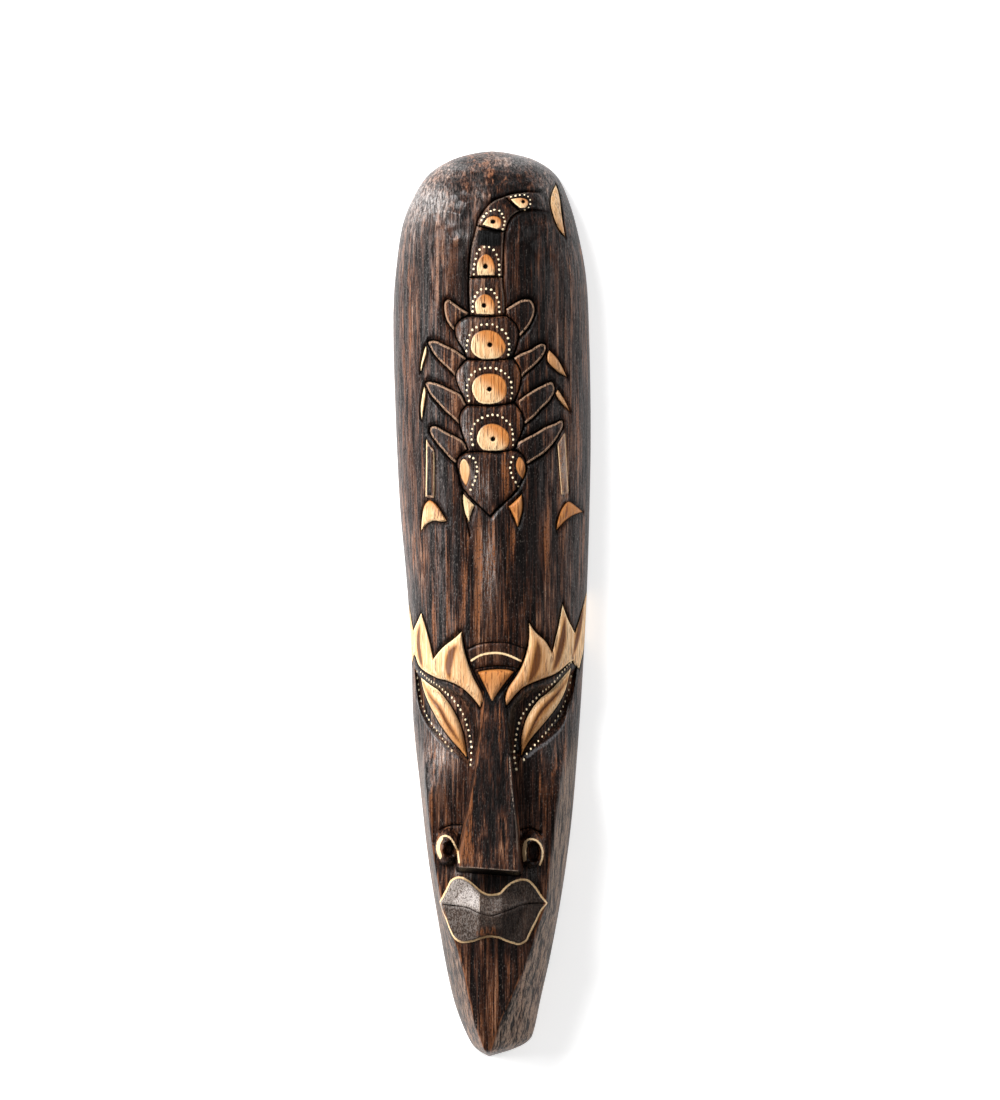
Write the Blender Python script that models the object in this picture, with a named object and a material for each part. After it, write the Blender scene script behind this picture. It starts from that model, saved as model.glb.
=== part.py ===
"""A carved wooden wall mask, 500 mm tall, lying on its back.

The mask is one piece of wood. Its front is half a log with a long face at the
lower end and a scorpion in low relief on the forehead, and its back is
scooped out. The front is worked out in three steps. The log's skin is rolled
out flat into a sheet, so that its steep sides get room. The lines of the
carving are drawn on that sheet, and a constrained Delaunay triangulation
joins them, so that edges of the mesh run along the bottom of every cut. Each
point is then rolled back onto the log and lifted or sunk to its height.

Metres, +Z up out of the mask's front, +Y towards the crown, +X to the right
of a person who looks at the face. The origin is under the middle of the mask,
on the plane of its flat rim.
"""

import math

import bpy
import numpy as np
from mathutils import Vector, kdtree
from mathutils.geometry import delaunay_2d_cdt

# Driving sizes, in metres
LENGTH = 0.500  # crown to the tip of the chin
WIDTH = 0.1091  # across the forehead, at its widest
FOREHEAD_DEPTH = 0.047  # back plane to the front of the forehead
NOSE_DEPTH = 0.063  # back plane to the tip of the nose
FRONT_WALL = 0.017  # wood between the hollow and the forehead
RIM_WIDTH = 0.012  # flat rim at the sides of the hollow
CROWN_WOOD = 0.028  # flat rim above the hollow
CHIN_WOOD = 0.075  # flat rim below the hollow
CUT_DEPTH = 0.0016  # knife cut round a figure of the relief
CUT_SHOULDER = 0.0013  # a figure reaches its full height this far inside its cut
CUT_GROUND = 0.0034  # the ground reaches its full height this far outside it
PLATE_BULGE = 0.0013  # roundness of the scorpion's plates
BROW_BULGE = 0.0016  # roundness of the leaves of the brows
SOCKET_DEPTH = 0.0062  # eye sockets below the brows
SOCKET_SLOPE = 0.0060  # width of the slope into a socket
EYE_RISE = 0.0034  # leaf-shaped eye above the bottom of its socket
WING_RISE = 0.0075  # wing of the nose above the cheek
NOSTRIL_DEPTH = 0.0070  # hollow in a wing
LIP_STEP = 0.0026  # edge of the lips above the skin
LIP_RISE = 0.0065  # middle of the lips above their edge
PARTING_DEPTH = 0.0011  # cut between the lips
VEIN_DEPTH = 0.0008  # fine lines

# The drawing is in millimetres, x to the right and y towards the crown, and
# shows a mask of these sizes. A point that is given twice is a corner.
DRAWN_LENGTH = 500.0
DRAWN_WIDTH = 109.1
DRAWN_DEPTH = 47.0
UNIT = LENGTH / DRAWN_LENGTH
ACROSS = WIDTH / DRAWN_WIDTH

# Fineness of the mesh, in drawing millimetres
CUT_STEP = 4.2
EDGE_STEP = 8.0
FACE_STEP = 6.6  # near the middle of the sheet, over CARVED_HALF_WIDTH each way
CARVED_HALF_WIDTH = 52.0
SIDE_STEP = 11.5
LEAST_GAP = 1.1  # a place beside a cut keeps this far from the others
GRID_GAP = 0.62  # a place of a grid keeps this share of its step
HOLLOW_ROWS = 24
HOLLOW_COLUMNS = 11

# Log: outline, front line and the edges between front and sides of the jaw
LEFT_OUTLINE = [
    (0.0, 250.0), (-9.4, 248.9), (-22.6, 245.0), (-35.3, 236.7), (-44.2, 222.9), (-50.0, 206.4),
    (-53.6, 178.7), (-54.6, 153.9), (-53.6, 112.4), (-51.1, 57.2), (-47.2, 13.0), (-44.6, -25.7),
    (-43.5, -64.4), (-39.5, -103.0), (-35.1, -141.7), (-29.8, -174.9), (-24.3, -205.2),
    (-19.3, -224.6), (-12.3, -241.2), (-7.2, -247.0), (-1.4, -250.0),
]
RIGHT_OUTLINE = [
    (0.0, 250.0), (9.4, 248.9), (23.8, 245.0), (35.4, 236.7), (42.3, 222.9), (47.8, 203.6),
    (52.2, 178.7), (53.8, 145.6), (54.6, 95.9), (53.9, 51.7), (52.5, 7.5), (50.3, -36.7),
    (47.3, -80.9), (44.0, -119.6), (39.3, -155.5), (32.9, -191.4), (27.1, -217.4), (23.2, -235.6),
    (19.9, -241.7), (11.6, -246.1), (-1.4, -250.0),
]
CROWN_Y = LEFT_OUTLINE[0][1]
CHIN_Y = LEFT_OUTLINE[-1][1]
FRONT_LINE = [
    (0.0, 250.0), (-1.1, 167.7), (-1.6, 24.0), (-0.5, -53.3), (-1.1, -141.7), (-1.1, -197.0),
    (-1.4, -250.0),
]
LEFT_JAW_EDGE = [
    (-37.5, -75.4), (-35.3, -108.6), (-32.6, -133.4), (-27.6, -163.8), (-23.7, -177.6),
    (-18.8, -189.8), (-15.4, -202.5), (-12.1, -219.1), (-8.8, -232.9), (-4.9, -243.9),
    (-2.2, -249.4),
]
RIGHT_JAW_EDGE = [
    (40.9, -75.4), (35.4, -108.6), (32.1, -136.2), (29.3, -163.8), (24.9, -177.6), (21.0, -190.3),
    (16.6, -202.5), (9.4, -219.1), (3.3, -232.9), (0.0, -243.9), (-1.1, -249.4),
]
# Depth of the log along its front line, as (y, share of FOREHEAD_DEPTH)
DEPTH_SHARES = [
    (-250.0, 0.86), (-243.9, 0.88), (-205.2, 0.91), (-190.3, 0.92), (-166.6, 0.93), (-147.2, 0.87),
    (-108.6, 0.86), (-75.4, 0.90), (-47.8, 0.99), (-9.1, 1.02), (24.0, 1.01), (112.4, 1.0),
    (189.8, 0.99), (250.0, 0.99),
]
CROWN_ROUNDING = 60.0  # length of the end that rounds off, at the crown
CHIN_ROUNDING = 5.0  # the same at the chin
LOG_ROUNDNESS = 2.5  # 2 is an ellipse, and more is squarer
JAW_BULGE = 0.07  # fall of the jaw's front towards its sides
JAW_SIDE_POWER = 0.62  # under 1, a side bulges outwards
JAW_EDGE_BLUNT = 0.05
JAW_SHARES = (0.08, 0.93)  # least and most share of the half width that the front takes
JAW_TOP_Y = -67.1  # the section turns from a log's into a jaw's
JAW_FULL_Y = -108.6

# Hollow of the back, ends in metres
HOLLOW_TOP_ROUNDING = 0.045
HOLLOW_BOTTOM_ROUNDING = 0.090
HOLLOW_ROUNDNESS = 2.2

# Face
NOSE_LEFT_EDGE = [
    (-4.4, -47.8), (-6.3, -69.9), (-8.3, -89.2), (-13.2, -116.9), (-16.3, -133.4), (-17.7, -145.6),
]
NOSE_RIGHT_EDGE = [
    (6.1, -47.8), (8.6, -69.9), (10.5, -89.2), (12.7, -116.9), (13.8, -133.4), (14.4, -146.7),
]
NOSE_ROOT_Y = -53.3
NOSE_TIP_Y = -146.1
NOSE_ROOT_SHARE = 0.73  # depth at the nose's root, as a share of NOSE_DEPTH
NOSE_FLANK = 9.0  # fall of its flanks, in metres a metre
NOSE_FLANK_WIDTH = 2.5  # width of a flank at the tip, seen from the front
NOSE_FLANK_TOP_Y = -70.9  # its flanks have a foot below here
NOSE_UNDERSIDE = 7.0  # fall of the cut under its tip
NOSE_UNDERCUT = 2.4  # the cut reaches the lip this far below the tip
NOSE_FOOT_BLUNT = 0.0015
NOSTRIL_LIP = 0.5  # a nostril falls to its depth over this share of its radius
EYE_ROUND_WIDTH = 4.5  # an eye rises to its full height this far inside its outline
LIP_STEP_WIDTH = 1.0
PARTING_HALF_WIDTH = 1.2
VEIN_HALF_WIDTH = 1.2
WINGS = [((-24.3, -134.0), 7.2, 10.2), ((21.9, -135.1), 7.2, 10.2)]
NOSTRILS = [((-23.5, -135.1), 3.0, 4.6), ((23.0, -136.7), 3.9, 6.0)]
LEFT_SOCKET = [
    (-42.0, -35.6), (-42.0, -35.6), (-28.7, -42.3), (-16.5, -47.8), (-7.7, -56.6), (-6.3, -69.9),
    (-8.8, -84.8), (-11.0, -90.9), (-11.0, -90.9), (-23.2, -83.1), (-35.9, -68.2), (-40.9, -51.7),
]
RIGHT_SOCKET = [
    (45.9, -35.6), (45.9, -35.6), (37.6, -38.4), (23.8, -43.4), (13.3, -50.6), (8.9, -56.6),
    (8.3, -72.7), (12.2, -90.9), (12.2, -90.9), (22.7, -80.9), (35.4, -71.5), (42.6, -57.7),
]
LEFT_EYE = [
    (-39.2, -41.2), (-39.2, -41.2), (-29.8, -48.9), (-21.5, -59.4), (-15.7, -71.5), (-13.8, -84.8),
    (-13.8, -84.8), (-23.2, -74.3), (-33.1, -61.0),
]
RIGHT_EYE = [
    (43.1, -36.7), (43.1, -36.7), (34.3, -46.1), (22.7, -57.2), (16.6, -71.5), (16.6, -84.3),
    (16.6, -84.3), (23.2, -75.4), (33.7, -66.0), (40.9, -53.3),
]
EYE_VEINS = [
    [(-37.0, -46.1), (-28.7, -58.3), (-21.0, -71.5), (-14.9, -82.0)],
    [(40.9, -43.4), (31.0, -55.0), (23.2, -66.6), (17.7, -79.8)],
]
MOUTH = [
    (-28.7, -164.4), (-28.7, -164.4), (-24.8, -157.2), (-19.3, -151.1), (-12.1, -153.3),
    (-2.2, -160.2), (7.2, -156.6), (16.6, -152.2), (24.3, -157.2), (30.4, -164.9), (30.4, -164.9),
    (24.9, -173.8), (18.8, -185.4), (10.0, -186.5), (-1.1, -183.7), (-13.8, -186.2),
    (-21.5, -182.6), (-25.4, -173.2),
]
PARTING = [
    (-26.5, -165.5), (-16.5, -166.6), (-8.3, -169.6), (-1.1, -171.5), (7.2, -169.3), (16.0, -166.0),
    (28.8, -164.9),
]
# Each lip is three flat facets, which meet along two ridges
LIP_RIDGES = (-6.9, 5.6)
LIP_RIDGE_RUN = (1.8, 11.0)  # a ridge begins and ends this far from the parting
LIP_REACH = 21.0  # the lips fall by LIP_RISE over this, above and below the parting
LIP_SIDE_REACH = 15.0  # the same beyond a ridge
LIP_BORDER = 2.0  # the facets begin over this width inside the outline

# Brows: two crowns of leaves, and a wedge over the nose between arcs
BROW_ROUND_WIDTH = 5.0
LEFT_BROW = [
    (-45.0, -1.4), (-45.0, -1.4), (-43.1, -14.6), (-43.1, -14.6), (-39.2, -5.2), (-39.2, -5.2),
    (-34.8, -15.7), (-31.7, -30.1), (-31.7, -30.1), (-23.2, -23.5), (-16.8, -15.2), (-16.8, -15.2),
    (-13.2, -31.2), (-4.4, -52.8), (-6.6, -57.2), (-6.6, -57.2), (-14.3, -48.3), (-24.8, -42.3),
    (-35.9, -39.0), (-42.0, -31.2), (-44.2, -17.4),
]
RIGHT_BROW = [
    (8.3, -56.1), (8.3, -56.1), (8.3, -48.3), (15.5, -36.2), (20.5, -10.2), (20.5, -10.2),
    (28.8, -19.6), (33.2, -27.3), (33.2, -27.3), (35.9, -14.6), (38.7, -0.8), (38.7, -0.8),
    (43.7, -9.1), (45.9, -15.7), (45.9, -15.7), (48.1, -6.9), (50.9, 3.6), (50.9, 3.6),
    (49.8, -17.4), (45.9, -35.6), (45.9, -35.6), (33.2, -40.1), (21.0, -43.9), (12.2, -51.1),
]
BROW_WEDGE = [
    (-8.0, -37.6), (-8.0, -37.6), (2.2, -35.9), (12.2, -37.3), (12.2, -37.3), (7.2, -45.0),
    (0.0, -53.9), (0.0, -53.9), (-4.4, -45.6),
]
BROW_ARCS = [
    [(-12.1, -24.6), (-5.5, -21.8), (2.8, -21.3), (17.2, -24.6)],
    [(-11.0, -31.2), (-3.8, -27.9), (4.4, -27.6), (15.5, -31.2)],
]

# Scorpion: its head points down and its tail curls up and over
TAIL_LINE = [
    (-2.7, 162.7), (-2.7, 178.7), (-2.5, 194.2), (-0.5, 205.8), (5.0, 216.9), (14.4, 221.0),
    (28.2, 221.0),
]
TAIL_HALF_WIDTHS = [10.0, 9.6, 9.3, 8.8, 7.2, 5.6, 5.2]
TAIL_JOINTS = [
    [(-11.6, 158.6), (-3.3, 157.7), (5.0, 158.6)],
    [(-11.6, 180.1), (-3.3, 179.3), (5.6, 180.1)],
    [(-7.2, 208.0), (-2.2, 205.8), (3.3, 204.7), (7.8, 205.2)],
    [(7.2, 223.5), (10.5, 219.1), (14.4, 216.3)],
]
STING = [
    (34.8, 231.2), (34.8, 231.2), (37.6, 219.1), (39.8, 202.5), (39.8, 202.5), (34.8, 209.7),
    (32.3, 221.3),
]
PLATES = [  # centre, half width, half height
    ((-2.7, 146.4), 17.3, 11.4),
    ((-1.6, 121.8), 17.3, 12.0),
    ((0.6, 96.4), 17.0, 12.4),
]
PLATE_ROUNDNESS = 2.7
PLATE_ROUND_WIDTH = 6.0
HEAD = [
    (-16.5, 81.5), (-18.5, 73.8), (-12.7, 59.4), (-1.1, 48.3), (-1.1, 48.3), (12.2, 61.0),
    (18.8, 74.9), (14.4, 82.6), (-1.1, 83.1),
]
JAWS = [
    [(-16.0, 61.0), (-16.0, 61.0), (-9.4, 54.4), (-12.1, 44.5), (-12.1, 44.5), (-15.4, 52.2)],
    [(16.0, 60.5), (16.0, 60.5), (16.6, 51.7), (14.4, 41.7), (14.4, 41.7), (9.4, 53.3)],
]
CLAWS = [
    [
        (-34.2, 57.7), (-34.2, 57.7), (-29.3, 53.3), (-24.8, 45.6), (-24.8, 45.6), (-32.0, 45.6),
        (-39.2, 40.1), (-39.2, 40.1), (-38.1, 50.6),
    ],
    [
        (42.0, 56.6), (42.0, 56.6), (46.4, 54.4), (49.8, 51.1), (49.8, 51.1), (43.7, 48.3),
        (35.9, 40.6), (35.9, 40.6), (37.6, 50.6),
    ],
]
THIGHS = [  # upper root, knee, lower root
    ((-12.7, 160.5), (-25.4, 167.7), (-21.0, 150.6)),
    ((7.8, 162.2), (23.2, 167.7), (15.5, 147.2)),
    ((-12.7, 135.1), (-34.8, 144.5), (-17.7, 123.5)),
    ((11.6, 135.1), (29.9, 143.9), (16.6, 124.0)),
    ((-14.3, 110.2), (-36.4, 122.4), (-18.2, 98.6)),
    ((15.5, 112.4), (34.3, 122.4), (19.9, 99.2)),
    ((-12.1, 85.9), (-34.2, 98.1), (-18.2, 77.1)),
    ((14.4, 88.7), (39.3, 101.4), (21.0, 76.0)),
]
CUT_HOLLOW = 1.3  # over 1, the two sides of a cut are hollow
KNEE_BLUNT = 0.13  # share of a thigh that its blunt knee takes
THIGH_BOW = 0.05
SHINS = [  # from, to, half width
    ((-35.3, 140.1), (-39.8, 124.6), 1.4),
    ((32.1, 139.5), (41.5, 123.5), 1.8),
    ((-37.0, 118.0), (-38.6, 100.8), 1.5),
    ((35.9, 117.4), (43.1, 106.4), 1.6),
    ((-33.7, 91.4), (-34.2, 58.8), 2.6),
    ((38.1, 93.1), (40.4, 59.9), 3.2),
]

# Numbers of the method
TINY = 1e-6
FAR = 1e3
REACH = 10.0  # distances from a line are worked out this far
DENSE = 16  # places on a curve between two given points
HALVINGS = 40
TABLE_STEP = 0.125  # mean step of the table that rolls the log back
OUTLINE_STEP = 0.25  # mean step along each side of the outline
ELLIPSE_PLACES = 24
WELD = 1e-4  # the triangulation joins places that are nearer


def catmull_rom(points, closed):
    """Dense points on a smooth curve through the given ones."""
    if closed:
        padded = np.vstack([points[-1:], points, points[:2]])
    else:
        padded = np.vstack([2 * points[:1] - points[1:2], points, 2 * points[-1:] - points[-2:-1]])
    a, b, c, d = padded[:-3], padded[1:-2], padded[2:-1], padded[3:]
    t = np.linspace(0, 1, DENSE, endpoint=False)[:, None, None]
    bend = t**2 * (a - 2.5 * b + 2 * c - d / 2) + t**3 * (1.5 * (b - c) + (d - a) / 2)
    curve = (b + t / 2 * (c - a) + bend).transpose(1, 0, 2).reshape(-1, 2)
    return np.vstack([curve, points[:1] if closed else points[-1:]])


def evenly(curve, step):
    """Points about a step apart along a dense curve, with both its ends."""
    along = np.concatenate([[0], np.cumsum(np.hypot(*np.diff(curve, axis=0).T))])
    at = np.linspace(0, along[-1], max(1, round(along[-1] / step)) + 1)
    return np.column_stack([np.interp(at, along, curve[:, 0]), np.interp(at, along, curve[:, 1])])


def ease(share):
    """0 to 1, level at both ends."""
    share = np.clip(share, 0, 1)
    return share * share * (3 - 2 * share)


def blunt_min(a, b, blunt):
    """The smaller of two, with the edge where they meet rounded off."""
    overlap = np.clip(blunt - abs(a - b), 0, None)
    return np.minimum(a, b) - overlap**2 / (4 * blunt)


def across_at(points):
    """A line that runs from crown to chin, as a function from y to x."""
    curve = catmull_rom(np.array(points), False)[::-1]
    return lambda y: np.interp(y, np.maximum.accumulate(curve[:, 1]), curve[:, 0])


def parting_at(x):
    """y of the line between the lips."""
    return np.interp(x, *catmull_rom(np.array(PARTING), False).T)


left_at = across_at(LEFT_OUTLINE)
right_at = across_at(RIGHT_OUTLINE)
front_at = across_at(FRONT_LINE)
left_jaw_at = across_at(LEFT_JAW_EDGE)
right_jaw_at = across_at(RIGHT_JAW_EDGE)
nose_left_at = across_at(NOSE_LEFT_EDGE)
nose_right_at = across_at(NOSE_RIGHT_EDGE)


def half_width(y, side):
    """From the front line to the mask's edge on that side."""
    return np.where(side < 0, front_at(y) - left_at(y), right_at(y) - front_at(y))


def jaw_share(y, side):
    """Where the jaw's front turns into its side, as a share of the half width."""
    edge = np.where(side < 0, front_at(y) - left_jaw_at(y), right_jaw_at(y) - front_at(y))
    return np.clip(edge / np.maximum(half_width(y, side), TINY), *JAW_SHARES)


def crown_share(y):
    """1 along the log, falling to 0 at the crown."""
    return np.sqrt(1 - np.clip(1 - (CROWN_Y - y) / CROWN_ROUNDING, 0, 1) ** LOG_ROUNDNESS)


def chin_share(y):
    """1 along the log, falling to 0 at the chin."""
    return np.sqrt(1 - np.clip(1 - (y - CHIN_Y) / CHIN_ROUNDING, 0, 1) ** LOG_ROUNDNESS)


def skin(y, side, t):
    """Height of the section at a share t of its half width, as a share of its depth."""
    log = np.sqrt(1 - t**LOG_ROUNDNESS)
    flank = ((1 - t) / (1 - jaw_share(y, side))) ** JAW_SIDE_POWER
    jaw = blunt_min(1 - JAW_BULGE * t**2, flank, JAW_EDGE_BLUNT)
    return log + (jaw - log) * ease((JAW_TOP_Y - y) / (JAW_TOP_Y - JAW_FULL_Y))


def unrolled(y, side, t):
    """Sheet place of a point of the skin: what the skin falls is added to its distance."""
    fall = DRAWN_DEPTH * crown_share(y) * chin_share(y) * (1 - skin(y, side, t))
    u = front_at(y) + side * (half_width(y, side) * t + fall)
    v = y + DRAWN_DEPTH * (chin_share(y) - crown_share(y))
    return np.column_stack([u, v])


def to_sheet(places):
    """Sheet places of places on the drawing."""
    x, y = places.T
    side = np.where(x < front_at(y), -1.0, 1.0)
    t = abs(x - front_at(y)) / np.maximum(half_width(y, side), TINY)
    return unrolled(y, side, np.clip(t, 0, 1))


def rolled_back(sheet):
    """y, side and share of the half width of sheet places, found by halving."""
    u, v = sheet.T
    length = CROWN_Y - CHIN_Y
    angles = np.linspace(0, math.pi, round(length / TABLE_STEP) + 1)
    table = CHIN_Y + length * (1 - np.cos(angles)) / 2
    y = np.interp(v, table + DRAWN_DEPTH * (chin_share(table) - crown_share(table)), table)
    side = np.where(u < front_at(y), -1.0, 1.0)
    low = np.zeros(len(u))
    high = np.ones(len(u))
    for _ in range(HALVINGS):
        middle = (low + high) / 2
        short = abs(unrolled(y, side, middle)[:, 0] - front_at(y)) < abs(u - front_at(y))
        low = np.where(short, middle, low)
        high = np.where(short, high, middle)
    return y, side, (low + high) / 2


def on_sheet(points, closed):
    """A drawn line on the sheet. A point that is given twice is a corner."""
    points = np.array(points)
    corners = [i for i in range(1, len(points)) if (points[i] == points[i - 1]).all()]
    if not corners:
        line = evenly(to_sheet(catmull_rom(points, closed)), CUT_STEP)
        return line[:-1] if closed else line
    if closed:
        points = np.roll(points, -corners[0], axis=0)
        corners = [i - corners[0] for i in corners[1:]]
    strokes = [
        evenly(to_sheet(catmull_rom(stroke, False)), CUT_STEP)[:-1]
        for stroke in np.split(points, corners)
    ]
    return np.vstack(strokes)


def ellipse(centre, half_across, half_up, roundness=2.0):
    """Closed outline of an ellipse, or of a squarer plate."""
    angle = np.linspace(0, 2 * math.pi, ELLIPSE_PLACES, endpoint=False)
    x = np.sign(np.cos(angle)) * abs(np.cos(angle)) ** (2 / roundness)
    y = np.sign(np.sin(angle)) * abs(np.sin(angle)) ** (2 / roundness)
    return np.array(centre) + np.column_stack([half_across * x, half_up * y])


def band(line, half_widths):
    """Closed outline of a band with square ends along a line."""
    line = np.array(line)
    run = np.gradient(line, axis=0)
    out = np.column_stack([-run[:, 1], run[:, 0]]) / np.hypot(*run.T)[:, None]
    out *= np.array(half_widths)[:, None]
    near = line + out
    far = (line - out)[::-1]
    return np.vstack([near[:1], near, near[-1:], far[:1], far, far[-1:]])


def leaf(start, end, half_width):
    """Closed outline of a thin leaf between two points."""
    start, end = np.array(start), np.array(end)
    run = end - start
    out = np.array([-run[1], run[0]]) / math.hypot(*run) * half_width
    middle = (start + end) / 2
    return np.array([start, start, middle + out, end, end, middle - out])


def thigh(root, knee, lower_root):
    """Closed outline of a leg's upper part, with a blunt knee."""
    root, knee, lower_root = np.array(root), np.array(knee), np.array(lower_root)
    near = knee + (root - knee) * KNEE_BLUNT
    far = knee + (lower_root - knee) * KNEE_BLUNT
    bow = (root + knee) / 2 - (lower_root - root) * THIGH_BOW
    return np.array([root, root, bow, near, far, lower_root, lower_root])


def distance_from(places, line):
    """Distance of each sheet place from a line, FAR where that isn't near."""
    distance = np.full(len(places), FAR)
    near = ((places > line.min(0) - REACH) & (places < line.max(0) + REACH)).all(1)
    some = places[near]
    least = np.full(len(some), FAR)
    for start, end in zip(line[:-1], line[1:]):
        run = end - start
        share = np.clip((some - start) @ run / (run @ run), 0, 1)
        least = np.minimum(least, np.hypot(*(some - start - share[:, None] * run).T))
    distance[near] = least
    return distance


def depth_inside(places, loop):
    """Distance of each sheet place from a closed line, negative outside it."""
    closed = np.vstack([loop, loop[:1]])
    x, y = places.T
    inside = np.zeros(len(places), bool)
    for (x0, y0), (x1, y1) in zip(closed[:-1], closed[1:]):
        if y0 != y1:
            inside ^= ((y0 > y) != (y1 > y)) & (x < x0 + (y - y0) * (x1 - x0) / (y1 - y0))
    return np.where(inside, 1, -1) * distance_from(places, closed)


def scorpion():
    """Closed outlines of the scorpion's parts."""
    outlines = [band(TAIL_LINE, TAIL_HALF_WIDTHS), STING, HEAD] + JAWS + CLAWS
    outlines += [ellipse(*plate, PLATE_ROUNDNESS) for plate in PLATES]
    outlines += [thigh(*places) for places in THIGHS]
    return outlines + [leaf(*places) for places in SHINS]


def lip_ridges():
    """Lines along which neighbouring facets of the lips meet, above and below the parting."""
    near, far = LIP_RIDGE_RUN
    return [
        [(x, parting_at(x) + side * near), (x, parting_at(x) + side * far)]
        for x in LIP_RIDGES
        for side in (1, -1)
    ]


def nose_feet():
    """Lines where the flanks of the nose meet the cheeks."""
    feet = []
    for edge, side in ((NOSE_LEFT_EDGE, -1), (NOSE_RIGHT_EDGE, 1)):
        edge = [(x, y) for x, y in edge if y <= NOSE_FLANK_TOP_Y]
        shares = [(NOSE_ROOT_Y - y) / (NOSE_ROOT_Y - NOSE_TIP_Y) for _, y in edge]
        feet.append([(x + side * NOSE_FLANK_WIDTH * share, y) for (x, y), share in zip(edge, shares)])
    return feet


def closed_lines():
    """Every closed line of the carving on the sheet, by what it bounds."""
    drawn = {
        "scorpion": scorpion(),
        "brows": [LEFT_BROW, RIGHT_BROW, BROW_WEDGE],
        "sockets": [LEFT_SOCKET, RIGHT_SOCKET],
        "eyes": [LEFT_EYE, RIGHT_EYE],
        "wings": [ellipse(*wing) for wing in WINGS],
        "nostrils": [ellipse(*nostril) for nostril in NOSTRILS],
        "mouth": [MOUTH],
    }
    return {name: [on_sheet(line, True) for line in lines] for name, lines in drawn.items()}


def open_lines():
    """Every open line of the carving on the sheet, by what it is."""
    below_tip = NOSE_TIP_Y - NOSE_UNDERCUT
    drawn = {
        "veins": EYE_VEINS + BROW_ARCS + TAIL_JOINTS,
        "parting": [PARTING],
        "nose": [
            NOSE_LEFT_EDGE + NOSE_RIGHT_EDGE[-1:],
            NOSE_RIGHT_EDGE,
            [(NOSE_LEFT_EDGE[-1][0], below_tip), (NOSE_RIGHT_EDGE[-1][0], below_tip)],
        ] + nose_feet(),
        "lips": lip_ridges(),
    }
    return {name: [on_sheet(line, False) for line in lines] for name, lines in drawn.items()}


def cut(distance):
    """Share of a knife cut's depth at a distance from it, negative on the ground."""
    width = np.where(distance > 0, CUT_SHOULDER, CUT_GROUND) / UNIT
    return np.clip(1 - abs(distance) / width, 0, 1) ** CUT_HOLLOW


def bulge(distance, width):
    """0 at an outline, rising to 1 a width inside it."""
    return 1 - (1 - np.clip(distance / width, 0, 1)) ** 2


def nearest_inside(sheet, loops):
    """How far inside the nearest of several closed lines each place is."""
    return np.max([depth_inside(sheet, loop) for loop in loops], axis=0)


def deepest_cut(sheet, loops):
    """Share of a knife cut's depth from several closed lines."""
    return np.max([cut(depth_inside(sheet, loop)) for loop in loops], axis=0)


def ellipse_share(x, y, centre, half_across, half_up):
    """0 in the middle of an ellipse and 1 on its edge."""
    return np.hypot((x - centre[0]) / half_across, (y - centre[1]) / half_up)


def nose_height(x, y):
    """Front, flanks and underside of the nose, without what is round it."""
    share = np.minimum((NOSE_ROOT_Y - y) / (NOSE_ROOT_Y - NOSE_TIP_Y), 1)
    front = NOSE_DEPTH * (NOSE_ROOT_SHARE + (1 - NOSE_ROOT_SHARE) * share)
    beside = np.maximum(nose_left_at(y) - x, x - nose_right_at(y)).clip(0)
    below = (NOSE_TIP_Y - y).clip(0)
    return front - (NOSE_FLANK * beside + NOSE_UNDERSIDE * below) * UNIT


def front_height(sheet, x, y, skin_share, closed, opened):
    """Height of the carved front above the back plane, in metres."""
    depth_y, depth_share = np.array(DEPTH_SHARES).T
    round_off = crown_share(y) * chin_share(y) * skin_share
    height = FOREHEAD_DEPTH * np.interp(y, depth_y, depth_share) * round_off

    height += PLATE_BULGE * bulge(nearest_inside(sheet, closed["scorpion"]), PLATE_ROUND_WIDTH)
    height += BROW_BULGE * bulge(nearest_inside(sheet, closed["brows"]), BROW_ROUND_WIDTH)
    height -= CUT_DEPTH * deepest_cut(sheet, closed["scorpion"] + closed["brows"])
    socket = nearest_inside(sheet, closed["sockets"])
    height -= SOCKET_DEPTH * ease(socket * UNIT / SOCKET_SLOPE)
    height += EYE_RISE * bulge(nearest_inside(sheet, closed["eyes"]), EYE_ROUND_WIDTH)

    for wing in WINGS:
        height += WING_RISE * np.sqrt(1 - np.clip(ellipse_share(x, y, *wing), 0, 1) ** 2)
    height = -blunt_min(-height, -nose_height(x, y), NOSE_FOOT_BLUNT)
    for nostril in NOSTRILS:
        height -= NOSTRIL_DEPTH * bulge(1 - ellipse_share(x, y, *nostril), NOSTRIL_LIP)

    mouth = nearest_inside(sheet, closed["mouth"])
    past_ridge = np.maximum(LIP_RIDGES[0] - x, x - LIP_RIDGES[1]).clip(0)
    fall = past_ridge / LIP_SIDE_REACH + abs(y - parting_at(x)) / LIP_REACH
    height += LIP_STEP * bulge(mouth, LIP_STEP_WIDTH)
    height += LIP_RISE * (1 - fall).clip(0) * ease(mouth / LIP_BORDER)
    parting = distance_from(sheet, opened["parting"][0])
    height -= PARTING_DEPTH * np.clip(1 - parting / PARTING_HALF_WIDTH, 0, 1)
    veins = np.min([distance_from(sheet, line) for line in opened["veins"]], axis=0)
    return height - VEIN_DEPTH * np.clip(1 - veins / VEIN_HALF_WIDTH, 0, 1)


def beside(line, distance, closed):
    """Places at a distance to the left of each place of a line."""
    if closed:
        run = np.roll(line, -1, axis=0) - np.roll(line, 1, axis=0)
    else:
        run = np.gradient(line, axis=0)
    out = np.column_stack([-run[:, 1], run[:, 0]]) / np.hypot(*run.T)[:, None]
    return line + distance * out


def thinned(taken, candidates, gap):
    """The taken places, and those candidates that keep a gap from all before them."""
    places = np.vstack([taken, candidates])
    tree = kdtree.KDTree(len(places))
    for i, (u, v) in enumerate(places):
        tree.insert((u, v, 0), i)
    tree.balance()
    kept = np.ones(len(places), bool)
    for i in range(len(taken), len(places)):
        found = tree.find_range((*places[i], 0), gap)
        kept[i] = not any(j < i and kept[j] for _, j, _ in found)
    return places[kept]


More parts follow.
